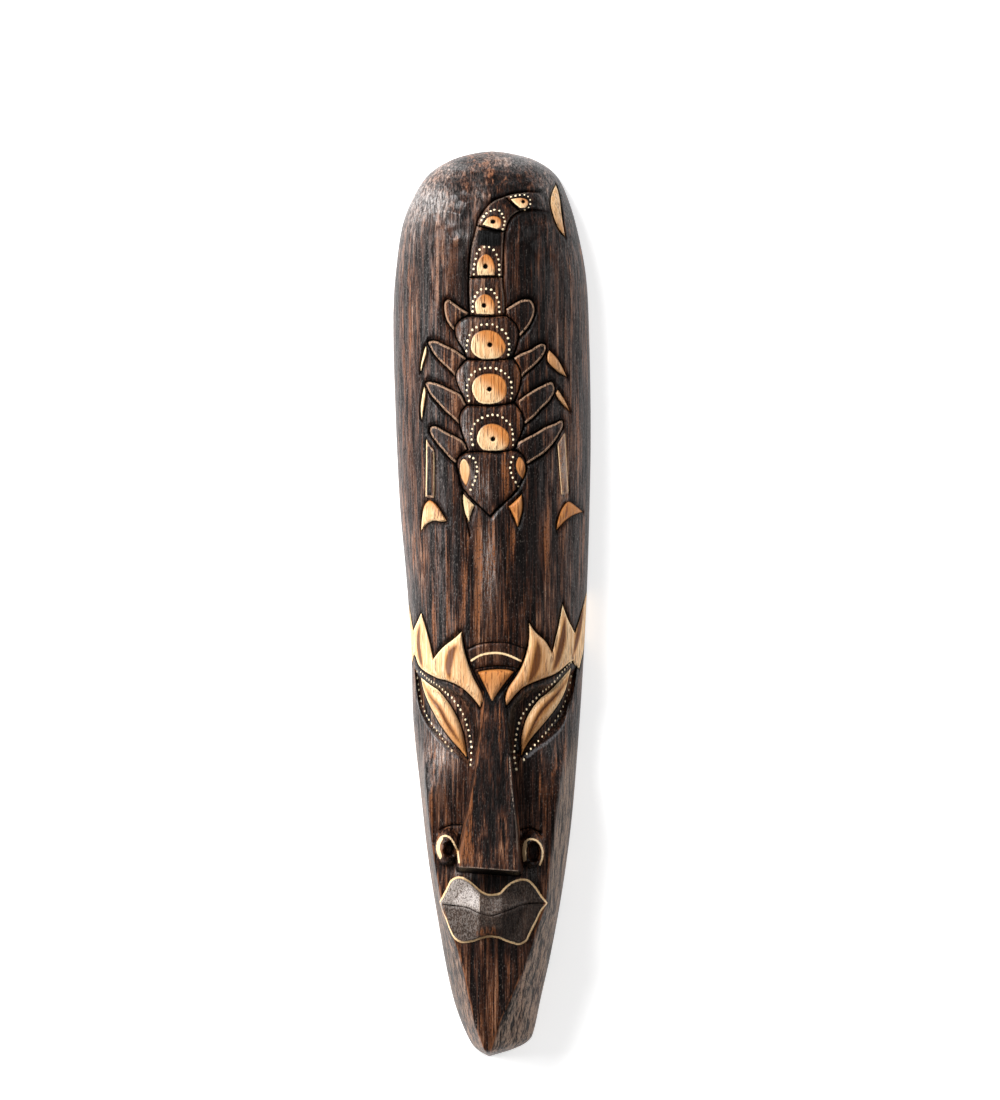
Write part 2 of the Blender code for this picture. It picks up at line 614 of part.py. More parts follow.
def grid(low, high, step):
    """Places of a triangular grid."""
    rows = np.arange(low[1], high[1], step * math.sqrt(3) / 2)
    columns = np.arange(low[0], high[0], step)
    u, v = np.meshgrid(columns, rows)
    u[1::2] += step / 2
    return np.column_stack([u.ravel(), v.ravel()])


def triangulated(places, outline, loops, lines):
    """Triangles over the places inside an outline, with the edges of the lines kept."""
    edges = []
    for loop in loops:
        edges += zip(loop, np.roll(loop, -1))
    for line in lines:
        edges += zip(line[:-1], line[1:])
    edges = [(int(a), int(b)) for a, b in edges]
    places = [Vector(place) for place in places]
    found = delaunay_2d_cdt(places, edges, [outline.tolist()], 0, WELD, True)
    inside = [bool(source) for source in found[5]]
    return np.array(found[0]), np.array(found[2])[inside], found[3]


def outline():
    """The mask's edge, anticlockwise from the crown, on the drawing and on the sheet."""
    angles = np.linspace(0, math.pi, round((CROWN_Y - CHIN_Y) / OUTLINE_STEP) + 1)
    steps = (1 - np.cos(angles)) / 2
    drawn, sheet = [], []
    for side, start, end in ((-1, CROWN_Y, CHIN_Y), (1, CHIN_Y, CROWN_Y)):
        y = start + (end - start) * steps
        edge = evenly(unrolled(y, np.full(len(y), side), np.ones(len(y))), EDGE_STEP)[:-1]
        edge_y = rolled_back(edge)[0]
        edge_y[0] = start
        drawn.append(np.column_stack([(left_at if side < 0 else right_at)(edge_y), edge_y]))
        sheet.append(edge)
    return np.vstack(drawn), np.vstack(sheet)


def front_mesh(edge, edge_sheet):
    """Points and triangles of the carved front. Its first points are the edge's."""
    closed, opened = closed_lines(), open_lines()
    loops = [loop for group in closed.values() for loop in group]
    lines = [line for group in opened.values() for line in group]
    fixed = np.vstack([edge_sheet] + loops + lines)
    starts = np.cumsum([len(edge_sheet)] + [len(line) for line in loops + lines])
    runs = [np.arange(len(line)) + start for line, start in zip(loops + lines, starts)]

    shoulders = [beside(loop, s * CUT_SHOULDER / UNIT, True) for loop in loops for s in (1, -1)]
    shoulders += [beside(line, s * CUT_SHOULDER / UNIT, False) for line in lines for s in (1, -1)]
    grounds = [beside(loop, s * CUT_GROUND / UNIT, True) for loop in loops for s in (1, -1)]
    low, high = edge_sheet.min(0), edge_sheet.max(0)
    fine = grid(low, high, FACE_STEP)
    coarse = grid(low, high, SIDE_STEP)
    carved = abs(fine[:, 0]) < CARVED_HALF_WIDTH
    fine = fine[carved & (depth_inside(fine, edge_sheet) > 0)]
    coarse = coarse[depth_inside(coarse, edge_sheet) > 0]

    places = thinned(fixed, np.vstack(shoulders), LEAST_GAP)
    places = thinned(places, np.vstack(grounds), 2 * LEAST_GAP)
    places = thinned(places, fine, GRID_GAP * FACE_STEP)
    places = thinned(places, coarse, GRID_GAP * SIDE_STEP)
    places = places[depth_inside(places, edge_sheet) > -LEAST_GAP]

    rim = np.arange(len(edge))
    sheet, triangles, sources = triangulated(places, rim, runs[: len(loops)], runs[len(loops) :])
    y, side, t = rolled_back(sheet)
    x = front_at(y) + side * half_width(y, side) * t
    z = front_height(sheet, x, y, skin(y, side, t), closed, opened)
    points = np.column_stack([x * ACROSS, y * UNIT, np.maximum(z, 0)])
    vertex_of_edge = np.zeros(len(edge), int)
    for i, source in enumerate(sources):
        if source and min(source) < len(edge):
            points[i] = (*edge[min(source)] * (ACROSS, UNIT), 0)
            vertex_of_edge[min(source)] = i
    return points, triangles, vertex_of_edge


def back_mesh(edge):
    """Points and triangles of the flat rim and the hollow. The first points are the edge's."""
    top = CROWN_Y * UNIT - CROWN_WOOD
    bottom = CHIN_Y * UNIT + CHIN_WOOD
    y = top + (bottom - top) * (1 - np.cos(np.linspace(0, math.pi, HOLLOW_ROWS)))[1:-1] / 2
    above = np.clip(1 - (top - y) / HOLLOW_TOP_ROUNDING, 0, 1)
    below = np.clip(1 - (y - bottom) / HOLLOW_BOTTOM_ROUNDING, 0, 1)
    end = np.sqrt((1 - above**2) * (1 - below**2))
    left = -(half_width(y / UNIT, -1) * ACROSS - RIM_WIDTH) * end
    right = (half_width(y / UNIT, 1) * ACROSS - RIM_WIDTH) * end
    middle = front_at(y / UNIT) * ACROSS

    lip = np.vstack([
        [(front_at(top / UNIT) * ACROSS, top)],
        np.column_stack([middle + left, y]),
        [(front_at(bottom / UNIT) * ACROSS, bottom)],
        np.column_stack([middle + right, y])[::-1],
    ])
    share = np.sin(np.linspace(-math.pi / 2, math.pi / 2, HOLLOW_COLUMNS))[1:-1]
    across = np.where(share < 0, -np.outer(left, share), np.outer(right, share))
    x = middle[:, None] + across
    depth = FOREHEAD_DEPTH - FRONT_WALL
    z = depth * np.outer(end, np.sqrt(1 - abs(share) ** HOLLOW_ROUNDNESS))
    scoop = np.column_stack([x.ravel(), np.repeat(y, len(share)), z.ravel()])

    flat = np.vstack([edge * (ACROSS, UNIT), lip])
    points = np.vstack([np.column_stack([flat, np.zeros(len(flat))]), scoop])
    rim, hollow = np.split(np.arange(len(flat)), [len(edge)])
    _, triangles, _ = triangulated(points[:, :2] / UNIT, rim, [hollow], [])
    return points, triangles


def carved_block():
    """Points and triangles of the whole mask."""
    edge, edge_sheet = outline()
    front, front_triangles, places = front_mesh(edge, edge_sheet)
    back, back_triangles = back_mesh(edge)
    joined = np.concatenate([places, len(front) + np.arange(len(back) - len(edge))])
    points = np.vstack([front, back[len(edge) :]])
    points[:, :2] -= (points.max(0) + points.min(0))[:2] / 2
    return points, np.vstack([front_triangles, joined[back_triangles][:, ::-1]])


def stained_wood():
    """Dark brown wood under a thin coat of wax."""
    material = bpy.data.materials.new("stained_wood")
    material.use_nodes = True
    shader = material.node_tree.nodes["Principled BSDF"]
    shader.inputs["Base Color"].default_value = (0.060, 0.026, 0.013, 1.0)
    shader.inputs["Roughness"].default_value = 0.42
    shader.inputs["Metallic"].default_value = 0.0
    return material


def main():
    for old in list(bpy.data.objects):
        bpy.data.objects.remove(old, do_unlink=True)
    collection = bpy.data.collections.new("wooden_wall_mask")
    bpy.context.scene.collection.children.link(collection)

    points, triangles = carved_block()
    mesh = bpy.data.meshes.new("mask")
    mesh.from_pydata(points.tolist(), [], triangles.tolist())
    mesh.materials.append(stained_wood())
    mesh.shade_smooth()
    mesh.set_sharp_from_angle(angle=math.radians(40))
    collection.objects.link(bpy.data.objects.new("mask", mesh))


main()
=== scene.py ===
# %% [markdown]
# # A carved wooden wall mask
#
# Masks like this one are carved from half a log of soft, light wood, stained
# nearly black and waxed. The carver then cuts through the stain with a knife,
# so that leaves, plates and claws show bare wood, and adds rows of paint dots
# with the end of a stick. The whole mask is one piece of wood, so it is one
# mesh here as well. Another way would be a plain mesh with a sculpted normal
# map, but a cut that is real geometry catches the light from every side.
#
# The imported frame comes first. The mask's sizes are read from its box, and
# the drawing below, which is in millimetres, is fitted to them.

# %% Frame and sizes
import math

import bpy
import numpy as np
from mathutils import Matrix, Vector
from mathutils.geometry import delaunay_2d_cdt


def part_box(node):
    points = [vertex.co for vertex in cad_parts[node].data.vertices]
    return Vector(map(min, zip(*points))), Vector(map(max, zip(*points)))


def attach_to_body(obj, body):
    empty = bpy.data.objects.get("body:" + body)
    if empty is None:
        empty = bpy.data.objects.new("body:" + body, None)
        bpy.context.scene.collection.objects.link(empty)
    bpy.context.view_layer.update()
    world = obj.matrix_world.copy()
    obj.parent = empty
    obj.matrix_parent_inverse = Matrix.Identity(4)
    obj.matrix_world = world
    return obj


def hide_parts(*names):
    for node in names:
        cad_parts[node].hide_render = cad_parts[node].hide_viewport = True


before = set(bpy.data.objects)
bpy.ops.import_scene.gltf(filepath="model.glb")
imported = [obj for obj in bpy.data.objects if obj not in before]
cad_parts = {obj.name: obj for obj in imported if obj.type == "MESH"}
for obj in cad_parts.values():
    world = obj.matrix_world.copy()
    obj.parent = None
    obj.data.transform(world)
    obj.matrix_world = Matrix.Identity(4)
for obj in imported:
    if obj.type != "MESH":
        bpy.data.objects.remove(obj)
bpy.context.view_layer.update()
low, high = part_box("mask")

DRAWN_DEPTH = 47.0  # back plane to the front of the forehead
DRAWN_HEIGHT = 62.9  # back plane to the tip of the nose
RAISE = (high.z - low.z) / DRAWN_HEIGHT
print("box", [round((b - a) * 1000, 1) for a, b in zip(low, high)], "mm")
print(f"one drawn mm of height is {RAISE:.6f} m")

# %% [markdown]
# ## Curves
#
# Every outline is a smooth curve through a few points, in millimetres with x
# to the right and y towards the crown. A point that is given twice is a
# corner, as where a knife turns round at the tip of a leaf. Splines through
# chosen points are quick to draw and easy to correct, where exact arcs would
# look too regular for handwork.

# %% Curves through points
DENSE = 12  # places on a curve between two given points
TINY = 1e-6


def catmull_rom(points, closed):
    """Dense points on a smooth curve through the given ones."""
    if closed:
        padded = np.vstack([points[-1:], points, points[:2]])
    else:
        padded = np.vstack([2 * points[:1] - points[1:2], points, 2 * points[-1:] - points[-2:-1]])
    a, b, c, d = padded[:-3], padded[1:-2], padded[2:-1], padded[3:]
    t = np.linspace(0, 1, DENSE, endpoint=False)[:, None, None]
    bend = t**2 * (a - 2.5 * b + 2 * c - d / 2) + t**3 * (1.5 * (b - c) + (d - a) / 2)
    curve = (b + t / 2 * (c - a) + bend).transpose(1, 0, 2).reshape(-1, 2)
    return np.vstack([curve, points[:1] if closed else points[-1:]])


def evenly(curve, step):
    """Points about a step apart along a dense curve, with both its ends."""
    along = np.concatenate([[0], np.cumsum(np.hypot(*np.diff(curve, axis=0).T))])
    at = np.linspace(0, along[-1], max(1, round(along[-1] / step)) + 1)
    return np.column_stack([np.interp(at, along, curve[:, 0]), np.interp(at, along, curve[:, 1])])


def ease(share):
    """0 to 1, level at both ends: 3 s^2 - 2 s^3."""
    share = np.clip(share, 0, 1)
    return share * share * (3 - 2 * share)


def blunt_min(a, b, blunt):
    """The smaller of two, with the edge where they meet rounded off."""
    overlap = np.clip(blunt - abs(a - b), 0, None)
    return np.minimum(a, b) - overlap**2 / (4 * blunt)


def across_at(points):
    """A line that runs from crown to chin, as a function from y to x."""
    curve = catmull_rom(np.array(points), False)[::-1]
    return lambda y: np.interp(y, np.maximum.accumulate(curve[:, 1]), curve[:, 0])


# %% [markdown]
# ## The log
#
# The front is half a round log that narrows to a jaw with flat sides. Its
# section at any height is a squarish ellipse, 1 - t^2.5 under a root, where t
# runs from 0 on the front line to 1 at the edge. Below the eyes it blends into
# a jaw: a nearly flat front that breaks into a steep side.

# %% Outline of the log
LEFT_OUTLINE = [
    (0.0, 250.0), (-9.4, 248.9), (-22.6, 245.0), (-35.3, 236.7), (-44.2, 222.9), (-50.0, 206.4),
    (-53.6, 178.7), (-54.6, 153.9), (-53.6, 112.4), (-51.1, 57.2), (-47.2, 13.0), (-44.6, -25.7),
    (-43.5, -64.4), (-39.5, -103.0), (-35.1, -141.7), (-29.8, -174.9), (-24.3, -205.2),
    (-19.3, -224.6), (-12.3, -241.2), (-7.2, -247.0), (-1.4, -250.0),
]
RIGHT_OUTLINE = [
    (0.0, 250.0), (9.4, 248.9), (23.8, 245.0), (35.4, 236.7), (42.3, 222.9), (47.8, 203.6),
    (52.2, 178.7), (53.8, 145.6), (54.6, 95.9), (53.9, 51.7), (52.5, 7.5), (50.3, -36.7),
    (47.3, -80.9), (44.0, -119.6), (39.3, -155.5), (32.9, -191.4), (27.1, -217.4), (23.2, -235.6),
    (19.9, -241.7), (11.6, -246.1), (-1.4, -250.0),
]
FRONT_LINE = [
    (0.0, 250.0), (-1.1, 167.7), (-1.6, 24.0), (-0.5, -53.3), (-1.1, -141.7), (-1.1, -197.0),
    (-1.4, -250.0),
]
LEFT_JAW_EDGE = [
    (-37.5, -75.4), (-35.3, -108.6), (-32.6, -133.4), (-27.6, -163.8), (-23.7, -177.6),
    (-18.8, -189.8), (-15.4, -202.5), (-12.1, -219.1), (-8.8, -232.9), (-4.9, -243.9),
    (-2.2, -249.4),
]
RIGHT_JAW_EDGE = [
    (40.9, -75.4), (35.4, -108.6), (32.1, -136.2), (29.3, -163.8), (24.9, -177.6), (21.0, -190.3),
    (16.6, -202.5), (9.4, -219.1), (3.3, -232.9), (0.0, -243.9), (-1.1, -249.4),
]
DEPTH_SHARES = [
    (-250.0, 0.86), (-243.9, 0.88), (-205.2, 0.91), (-190.3, 0.92), (-166.6, 0.93), (-147.2, 0.87),
    (-108.6, 0.86), (-75.4, 0.90), (-47.8, 0.99), (-9.1, 1.02), (24.0, 1.01), (112.4, 1.0),
    (189.8, 0.99), (250.0, 0.99),
]  # depth along the front line, as (y, share of DRAWN_DEPTH)
CROWN_Y = LEFT_OUTLINE[0][1]
CHIN_Y = LEFT_OUTLINE[-1][1]
CROWN_ROUNDING = 60.0  # length of the log that rounds off to the crown
CHIN_ROUNDING = 5.0
LOG_ROUNDNESS = 2.5  # 2 is an ellipse, more is squarer
JAW_BULGE = 0.07
JAW_SIDE_POWER = 0.62
JAW_EDGE_BLUNT = 0.05
JAW_SHARES = (0.08, 0.93)  # the jaw's edge keeps between these shares of the half width
JAW_TOP_Y = -67.1
JAW_FULL_Y = -108.6
TABLE_PLACES = 4001

left_at = across_at(LEFT_OUTLINE)
right_at = across_at(RIGHT_OUTLINE)
front_at = across_at(FRONT_LINE)
left_jaw_at = across_at(LEFT_JAW_EDGE)
right_jaw_at = across_at(RIGHT_JAW_EDGE)

every_y = np.linspace(CHIN_Y, CROWN_Y, TABLE_PLACES)
UNIT = (high.y - low.y) / (CROWN_Y - CHIN_Y)
ACROSS = (high.x - low.x) / (right_at(every_y).max() - left_at(every_y).min())
print(f"one drawn mm is {UNIT:.6f} m along the mask and {ACROSS:.6f} m across it")

# %% [markdown]
# ## The sheet
#
# The sides of the log are so steep that a grid over the drawing would hardly
# touch them. The skin is therefore rolled out flat: each place moves outwards
# by as much as the skin falls away there. Everything below, meshing and
# measuring alike, happens on that sheet, where nothing is steep. A sphere-like
# projection would do the same job less evenly.

# %% Rolling the log out flat
HALVINGS = 36
LINE_STEP = 0.75  # places along every line of the carving are this far apart


def half_width(y, side):
    """From the front line to the mask's edge on that side."""
    return np.where(side < 0, front_at(y) - left_at(y), right_at(y) - front_at(y))


def jaw_share(y, side):
    """Where the jaw's front turns into its side, as a share of the half width."""
    edge = np.where(side < 0, front_at(y) - left_jaw_at(y), right_jaw_at(y) - front_at(y))
    return np.clip(edge / np.maximum(half_width(y, side), TINY), *JAW_SHARES)


def crown_share(y):
    """1 along the log, falling to 0 at the crown."""
    return np.sqrt(1 - np.clip(1 - (CROWN_Y - y) / CROWN_ROUNDING, 0, 1) ** LOG_ROUNDNESS)


def chin_share(y):
    """1 along the log, falling to 0 at the chin."""
    return np.sqrt(1 - np.clip(1 - (y - CHIN_Y) / CHIN_ROUNDING, 0, 1) ** LOG_ROUNDNESS)


def skin(y, side, t):
    """Height of the section at a share t of its half width, as a share of its depth.

    The log is a root of 1 - t^2.5. The jaw is the lower of a shallow bow and a steep side.
    """
    log = np.sqrt(1 - t**LOG_ROUNDNESS)
    flank = ((1 - t) / (1 - jaw_share(y, side))) ** JAW_SIDE_POWER
    jaw = blunt_min(1 - JAW_BULGE * t**2, flank, JAW_EDGE_BLUNT)
    return log + (jaw - log) * ease((JAW_TOP_Y - y) / (JAW_TOP_Y - JAW_FULL_Y))


def unrolled(y, side, t):
    """Sheet places of skin points: across, the fall is added to x on its side, and along,
    y moves by the fall towards the crown and the chin.
    """
    fall = DRAWN_DEPTH * crown_share(y) * chin_share(y) * (1 - skin(y, side, t))
    u = front_at(y) + side * (half_width(y, side) * t + fall)
    v = y + DRAWN_DEPTH * (chin_share(y) - crown_share(y))
    return np.column_stack([u, v])


def to_sheet(places):
    """Sheet places of places on the drawing."""
    x, y = places.T
    side = np.where(x < front_at(y), -1.0, 1.0)
    t = abs(x - front_at(y)) / np.maximum(half_width(y, side), TINY)
    return unrolled(y, side, np.clip(t, 0, 1))


def rolled_back(places):
    """y, side and share of the half width of sheet places, found by halving."""
    u, v = places.T
    angles = np.linspace(0, math.pi, TABLE_PLACES)
    table = CHIN_Y + (CROWN_Y - CHIN_Y) * (1 - np.cos(angles)) / 2
    y = np.interp(v, table + DRAWN_DEPTH * (chin_share(table) - crown_share(table)), table)
    side = np.where(u < front_at(y), -1.0, 1.0)
    short, long = np.zeros(len(u)), np.ones(len(u))
    for _ in range(HALVINGS):
        middle = (short + long) / 2
        inside = abs(unrolled(y, side, middle)[:, 0] - front_at(y)) < abs(u - front_at(y))
        short = np.where(inside, middle, short)
        long = np.where(inside, long, middle)
    return y, side, (short + long) / 2


def on_sheet(points, closed=True, step=LINE_STEP):
    """A drawn line on the sheet. A point that is given twice is a corner."""
    points = np.array(points)
    corners = [i for i in range(1, len(points)) if (points[i] == points[i - 1]).all()]
    if not corners:
        line = evenly(to_sheet(catmull_rom(points, closed)), step)
        return line[:-1] if closed else line
    if closed:
        points = np.roll(points, -corners[0], axis=0)
        corners = [i - corners[0] for i in corners[1:]]
    parts = np.split(points, corners)
    strokes = [evenly(to_sheet(catmull_rom(part, False)), step) for part in parts]
    line = np.vstack([stroke[:-1] for stroke in strokes])
    return line if closed else np.vstack([line, strokes[-1][-1:]])


widest = unrolled(every_y, 1.0, np.ones(len(every_y)))[:, 0].max()
print(f"the log, {DRAWN_DEPTH} mm deep, takes {widest:.0f} mm of sheet on its right side")

# %% [markdown]
# ## The scorpion
#
# The scorpion hangs head down on the forehead. Tail, plates and head are one
# outline, with a joint cut across at each notch. It could be put together from
# round plates, but a drawn outline keeps the carver's uneven hand.

# %% Body of the scorpion
SCORPION_BODY = [
    (-12.1, 158.8), (-12.1, 158.8), (-12.7, 167.7), (-12.7, 181.5), (-11.6, 195.3), (-9.4, 203.6),
    (-7.7, 210.8), (-4.4, 216.3), (0.0, 221.3), (6.1, 224.0), (12.7, 226.0), (21.0, 226.8),
    (28.2, 226.5), (28.2, 226.5), (30.4, 215.7), (30.4, 215.7), (23.8, 216.9), (16.6, 216.3),
    (12.2, 214.1), (9.4, 210.8), (7.8, 206.4), (6.7, 200.8), (6.1, 178.7), (7.2, 167.7),
    (7.2, 158.8), (7.2, 158.8), (10.5, 156.6), (13.8, 152.8), (14.9, 148.3), (13.8, 142.8),
    (11.4, 135.4), (11.4, 135.4), (14.9, 130.1), (16.0, 124.6), (14.9, 118.0), (12.2, 110.8),
    (12.2, 110.8), (16.0, 105.8), (17.7, 100.3), (16.0, 93.6), (12.2, 84.8), (12.2, 84.8),
    (15.5, 83.1), (18.3, 79.3), (18.8, 73.8), (16.0, 67.1), (12.7, 61.6), (7.2, 56.1), (2.2, 51.7),
    (-0.8, 47.8), (-0.8, 47.8), (-6.6, 53.3), (-12.1, 58.8), (-16.5, 64.4), (-18.2, 71.0),
    (-19.3, 77.1), (-17.7, 81.5), (-13.2, 84.8), (-13.2, 84.8), (-16.0, 92.5), (-17.7, 98.6),
    (-17.4, 104.7), (-13.8, 109.4), (-13.8, 109.4), (-16.0, 114.6), (-18.2, 119.1), (-19.9, 124.6),
    (-18.8, 129.0), (-13.8, 134.8), (-13.8, 134.8), (-16.0, 140.1), (-19.3, 145.6), (-20.4, 151.1),
    (-18.8, 155.0), (-15.4, 157.5),
]
JOINTS = [
    [(-12.1, 158.6), (-3.8, 158.0), (7.2, 158.6)],
    [(-13.8, 134.8), (-8.8, 134.3), (-1.1, 134.0), (6.1, 134.3), (11.4, 135.4)],
    [(-13.8, 109.4), (-7.7, 109.1), (-1.1, 108.8), (5.6, 109.4), (12.2, 110.8)],
    [(-17.7, 81.5), (-13.2, 83.4), (-6.6, 83.7), (3.3, 83.4), (12.2, 84.8)],
    [(-11.9, 179.6), (-3.8, 179.8), (6.1, 179.8)],
    [(-8.3, 208.3), (-3.8, 206.9), (2.2, 205.2), (7.2, 205.0)],
    [(7.8, 223.5), (11.6, 219.6), (16.0, 215.7)],
]
TAIL_END = (30.4, 221.3)
TAIL_FADE = 9.0  # the outline's cut fades out over this at the tail's end

scorpion = on_sheet(SCORPION_BODY)
joints = [on_sheet(line, False) for line in JOINTS]
print(f"scorpion: outline of {len(scorpion)} places with {len(joints)} joints")

# %% [markdown]
# ## The scorpion's legs
#
# The legs are leaves that run in under the body, so they are open lines, and
# only the part outside the body counts. Each ends in a sliver of bare wood, and
# the lowest two in narrow strips between two pale lines.

# %% Legs of the scorpion
LEGS = [
    [
        (-12.7, 160.5), (-16.5, 162.7), (-20.4, 165.5), (-23.7, 167.7), (-25.9, 166.6),
        (-26.5, 163.3), (-25.9, 158.8), (-24.3, 154.4), (-21.0, 150.0),
    ],
    [
        (7.8, 162.7), (12.2, 165.5), (16.6, 167.7), (21.0, 167.7), (23.2, 164.9), (23.8, 160.5),
        (22.1, 155.5), (19.4, 151.1), (14.4, 145.6),
    ],
    [
        (-13.8, 135.4), (-20.4, 140.1), (-25.9, 142.8), (-30.4, 145.0), (-34.2, 145.0),
        (-35.3, 143.4), (-34.2, 141.2), (-32.0, 137.3), (-28.7, 133.4), (-24.8, 129.6),
        (-19.3, 124.0),
    ],
    [
        (11.6, 135.4), (15.5, 137.8), (21.0, 140.1), (25.4, 142.8), (28.2, 143.4), (29.9, 141.7),
        (29.3, 138.4), (26.5, 134.0), (22.7, 130.1), (19.4, 127.3), (16.0, 124.0),
    ],
    [
        (-14.3, 110.2), (-17.1, 115.2), (-23.2, 118.5), (-27.6, 120.7), (-32.6, 122.4),
        (-35.9, 122.4), (-36.7, 120.7), (-35.9, 119.1), (-33.7, 114.6), (-29.8, 110.2),
        (-25.4, 105.2), (-21.5, 101.9), (-17.7, 98.1),
    ],
    [
        (14.9, 112.4), (19.4, 115.7), (23.8, 118.5), (29.3, 121.3), (32.6, 122.4), (34.3, 120.2),
        (34.3, 116.3), (31.5, 111.3), (27.1, 106.9), (23.2, 102.5), (17.7, 98.1),
    ],
    [
        (-13.2, 85.9), (-16.5, 90.3), (-21.5, 93.1), (-25.9, 95.3), (-30.9, 98.1), (-33.7, 97.5),
        (-34.2, 95.3), (-33.7, 93.1), (-30.9, 88.7), (-27.6, 84.8), (-23.2, 79.8), (-19.3, 76.5),
    ],
    [
        (13.3, 88.7), (18.3, 91.4), (23.8, 94.2), (29.3, 97.5), (34.8, 99.7), (38.1, 101.4),
        (39.3, 99.2), (38.1, 94.8), (34.3, 88.7), (29.3, 83.1), (23.8, 79.3), (18.8, 76.0),
    ],
]
LOWER_LEGS = [
    [
        (-36.2, 90.9), (-36.2, 90.9), (-34.0, 87.6), (-31.7, 84.8), (-31.7, 84.8), (-31.5, 71.0),
        (-31.7, 57.7), (-31.7, 57.7), (-36.7, 58.3), (-36.7, 58.3), (-36.4, 73.8),
    ],
    [
        (40.1, 95.3), (40.1, 95.3), (35.9, 88.1), (35.9, 88.1), (37.0, 73.8), (38.1, 59.4),
        (38.1, 59.4), (42.3, 60.5), (42.3, 60.5), (41.2, 79.3),
    ],
]
LEG_LINES = [
    [(-35.9, 89.8), (-36.1, 73.8), (-36.3, 59.4)], [(-32.0, 83.1), (-31.8, 71.0), (-32.0, 58.8)],
    [(36.5, 87.0), (37.4, 73.8), (38.5, 60.5)], [(40.2, 93.6), (41.1, 78.2), (42.0, 61.6)],
]

legs = [on_sheet(line, False) for line in LEGS]
lower_legs = [on_sheet(loop) for loop in LOWER_LEGS]
leg_lines = [on_sheet(line, False) for line in LEG_LINES]
print(f"{len(legs)} legs, and {len(lower_legs)} strips with {len(leg_lines)} lines")

# %% [markdown]
# ## Bare wood on the scorpion
#
# Where the carver cuts through the stain, bare wood shows: in a disc on each
# plate, in arches up the tail, in the eyes, jaws, claws, slivers and sting. A
# small hole is drilled in each disc. They are drawn one by one, because no two
# of them are alike on the real mask.

# %% Discs, claws and sting
SLIVERS = [
    [
        (-36.4, 142.3), (-36.4, 142.3), (-35.7, 138.4), (-37.5, 132.3), (-39.4, 126.8),
        (-39.4, 126.8), (-39.0, 132.3), (-37.7, 137.8),
    ],
    [
        (-37.3, 119.6), (-37.3, 119.6), (-36.2, 116.9), (-36.8, 110.8), (-38.6, 100.8),
        (-38.6, 100.8), (-39.2, 107.5), (-38.4, 114.6),
    ],
    [
        (31.5, 139.8), (31.5, 139.8), (35.4, 135.9), (38.4, 131.2), (41.5, 124.6), (41.5, 124.6),
        (36.2, 127.6), (31.1, 132.6), (30.4, 136.7),
    ],
    [
        (36.2, 118.2), (36.2, 118.2), (38.7, 114.6), (41.2, 110.2), (43.1, 105.5), (43.1, 105.5),
        (38.7, 109.9), (35.1, 115.2),
    ],
]
CLAWS = [
    [
        (-38.9, 40.1), (-38.9, 40.1), (-38.6, 46.1), (-37.5, 53.3), (-35.3, 56.6), (-32.8, 56.6),
        (-29.3, 53.0), (-24.6, 45.3), (-24.6, 45.3), (-28.1, 45.0), (-32.0, 45.6), (-35.6, 43.9),
    ],
    [
        (35.4, 40.3), (35.4, 40.3), (36.2, 45.9), (38.7, 53.0), (42.0, 56.4), (45.3, 54.7),
        (50.3, 50.6), (50.3, 50.6), (44.8, 48.6), (40.4, 45.6),
    ],
]
JAWS = [
    [
        (-16.0, 60.8), (-16.0, 60.8), (-12.7, 57.5), (-9.4, 54.1), (-9.4, 54.1), (-11.3, 50.0),
        (-12.5, 44.8), (-12.5, 44.8), (-14.6, 49.4), (-15.8, 55.0),
    ],
    [
        (16.6, 60.5), (16.6, 60.5), (16.9, 52.8), (15.5, 46.1), (14.2, 41.7), (14.2, 41.7),
        (12.2, 47.2), (9.1, 53.6), (9.1, 53.6), (13.3, 57.2),
    ],
]
JAW_GROUND = [(-16.0, 60.8), (-15.8, 55.0), (-14.3, 47.8), (-12.1, 37.3)]
HEAD_EYES = [
    [
        (-15.2, 79.8), (-12.7, 76.8), (-11.9, 72.9), (-12.7, 68.2), (-14.1, 64.4), (-14.1, 64.4),
        (-16.5, 68.2), (-17.8, 73.8), (-17.1, 78.2),
    ],
    [
        (14.7, 80.9), (17.2, 79.0), (18.4, 75.4), (18.3, 71.5), (17.0, 68.2), (17.0, 68.2),
        (14.2, 72.1), (13.1, 76.5),
    ],
]
STING = [
    (35.1, 231.2), (35.1, 231.2), (36.5, 227.3), (37.6, 221.8), (38.4, 214.6), (40.4, 201.9),
    (40.4, 201.9), (36.8, 206.4), (34.0, 213.0), (32.3, 220.2), (32.9, 225.7),
]
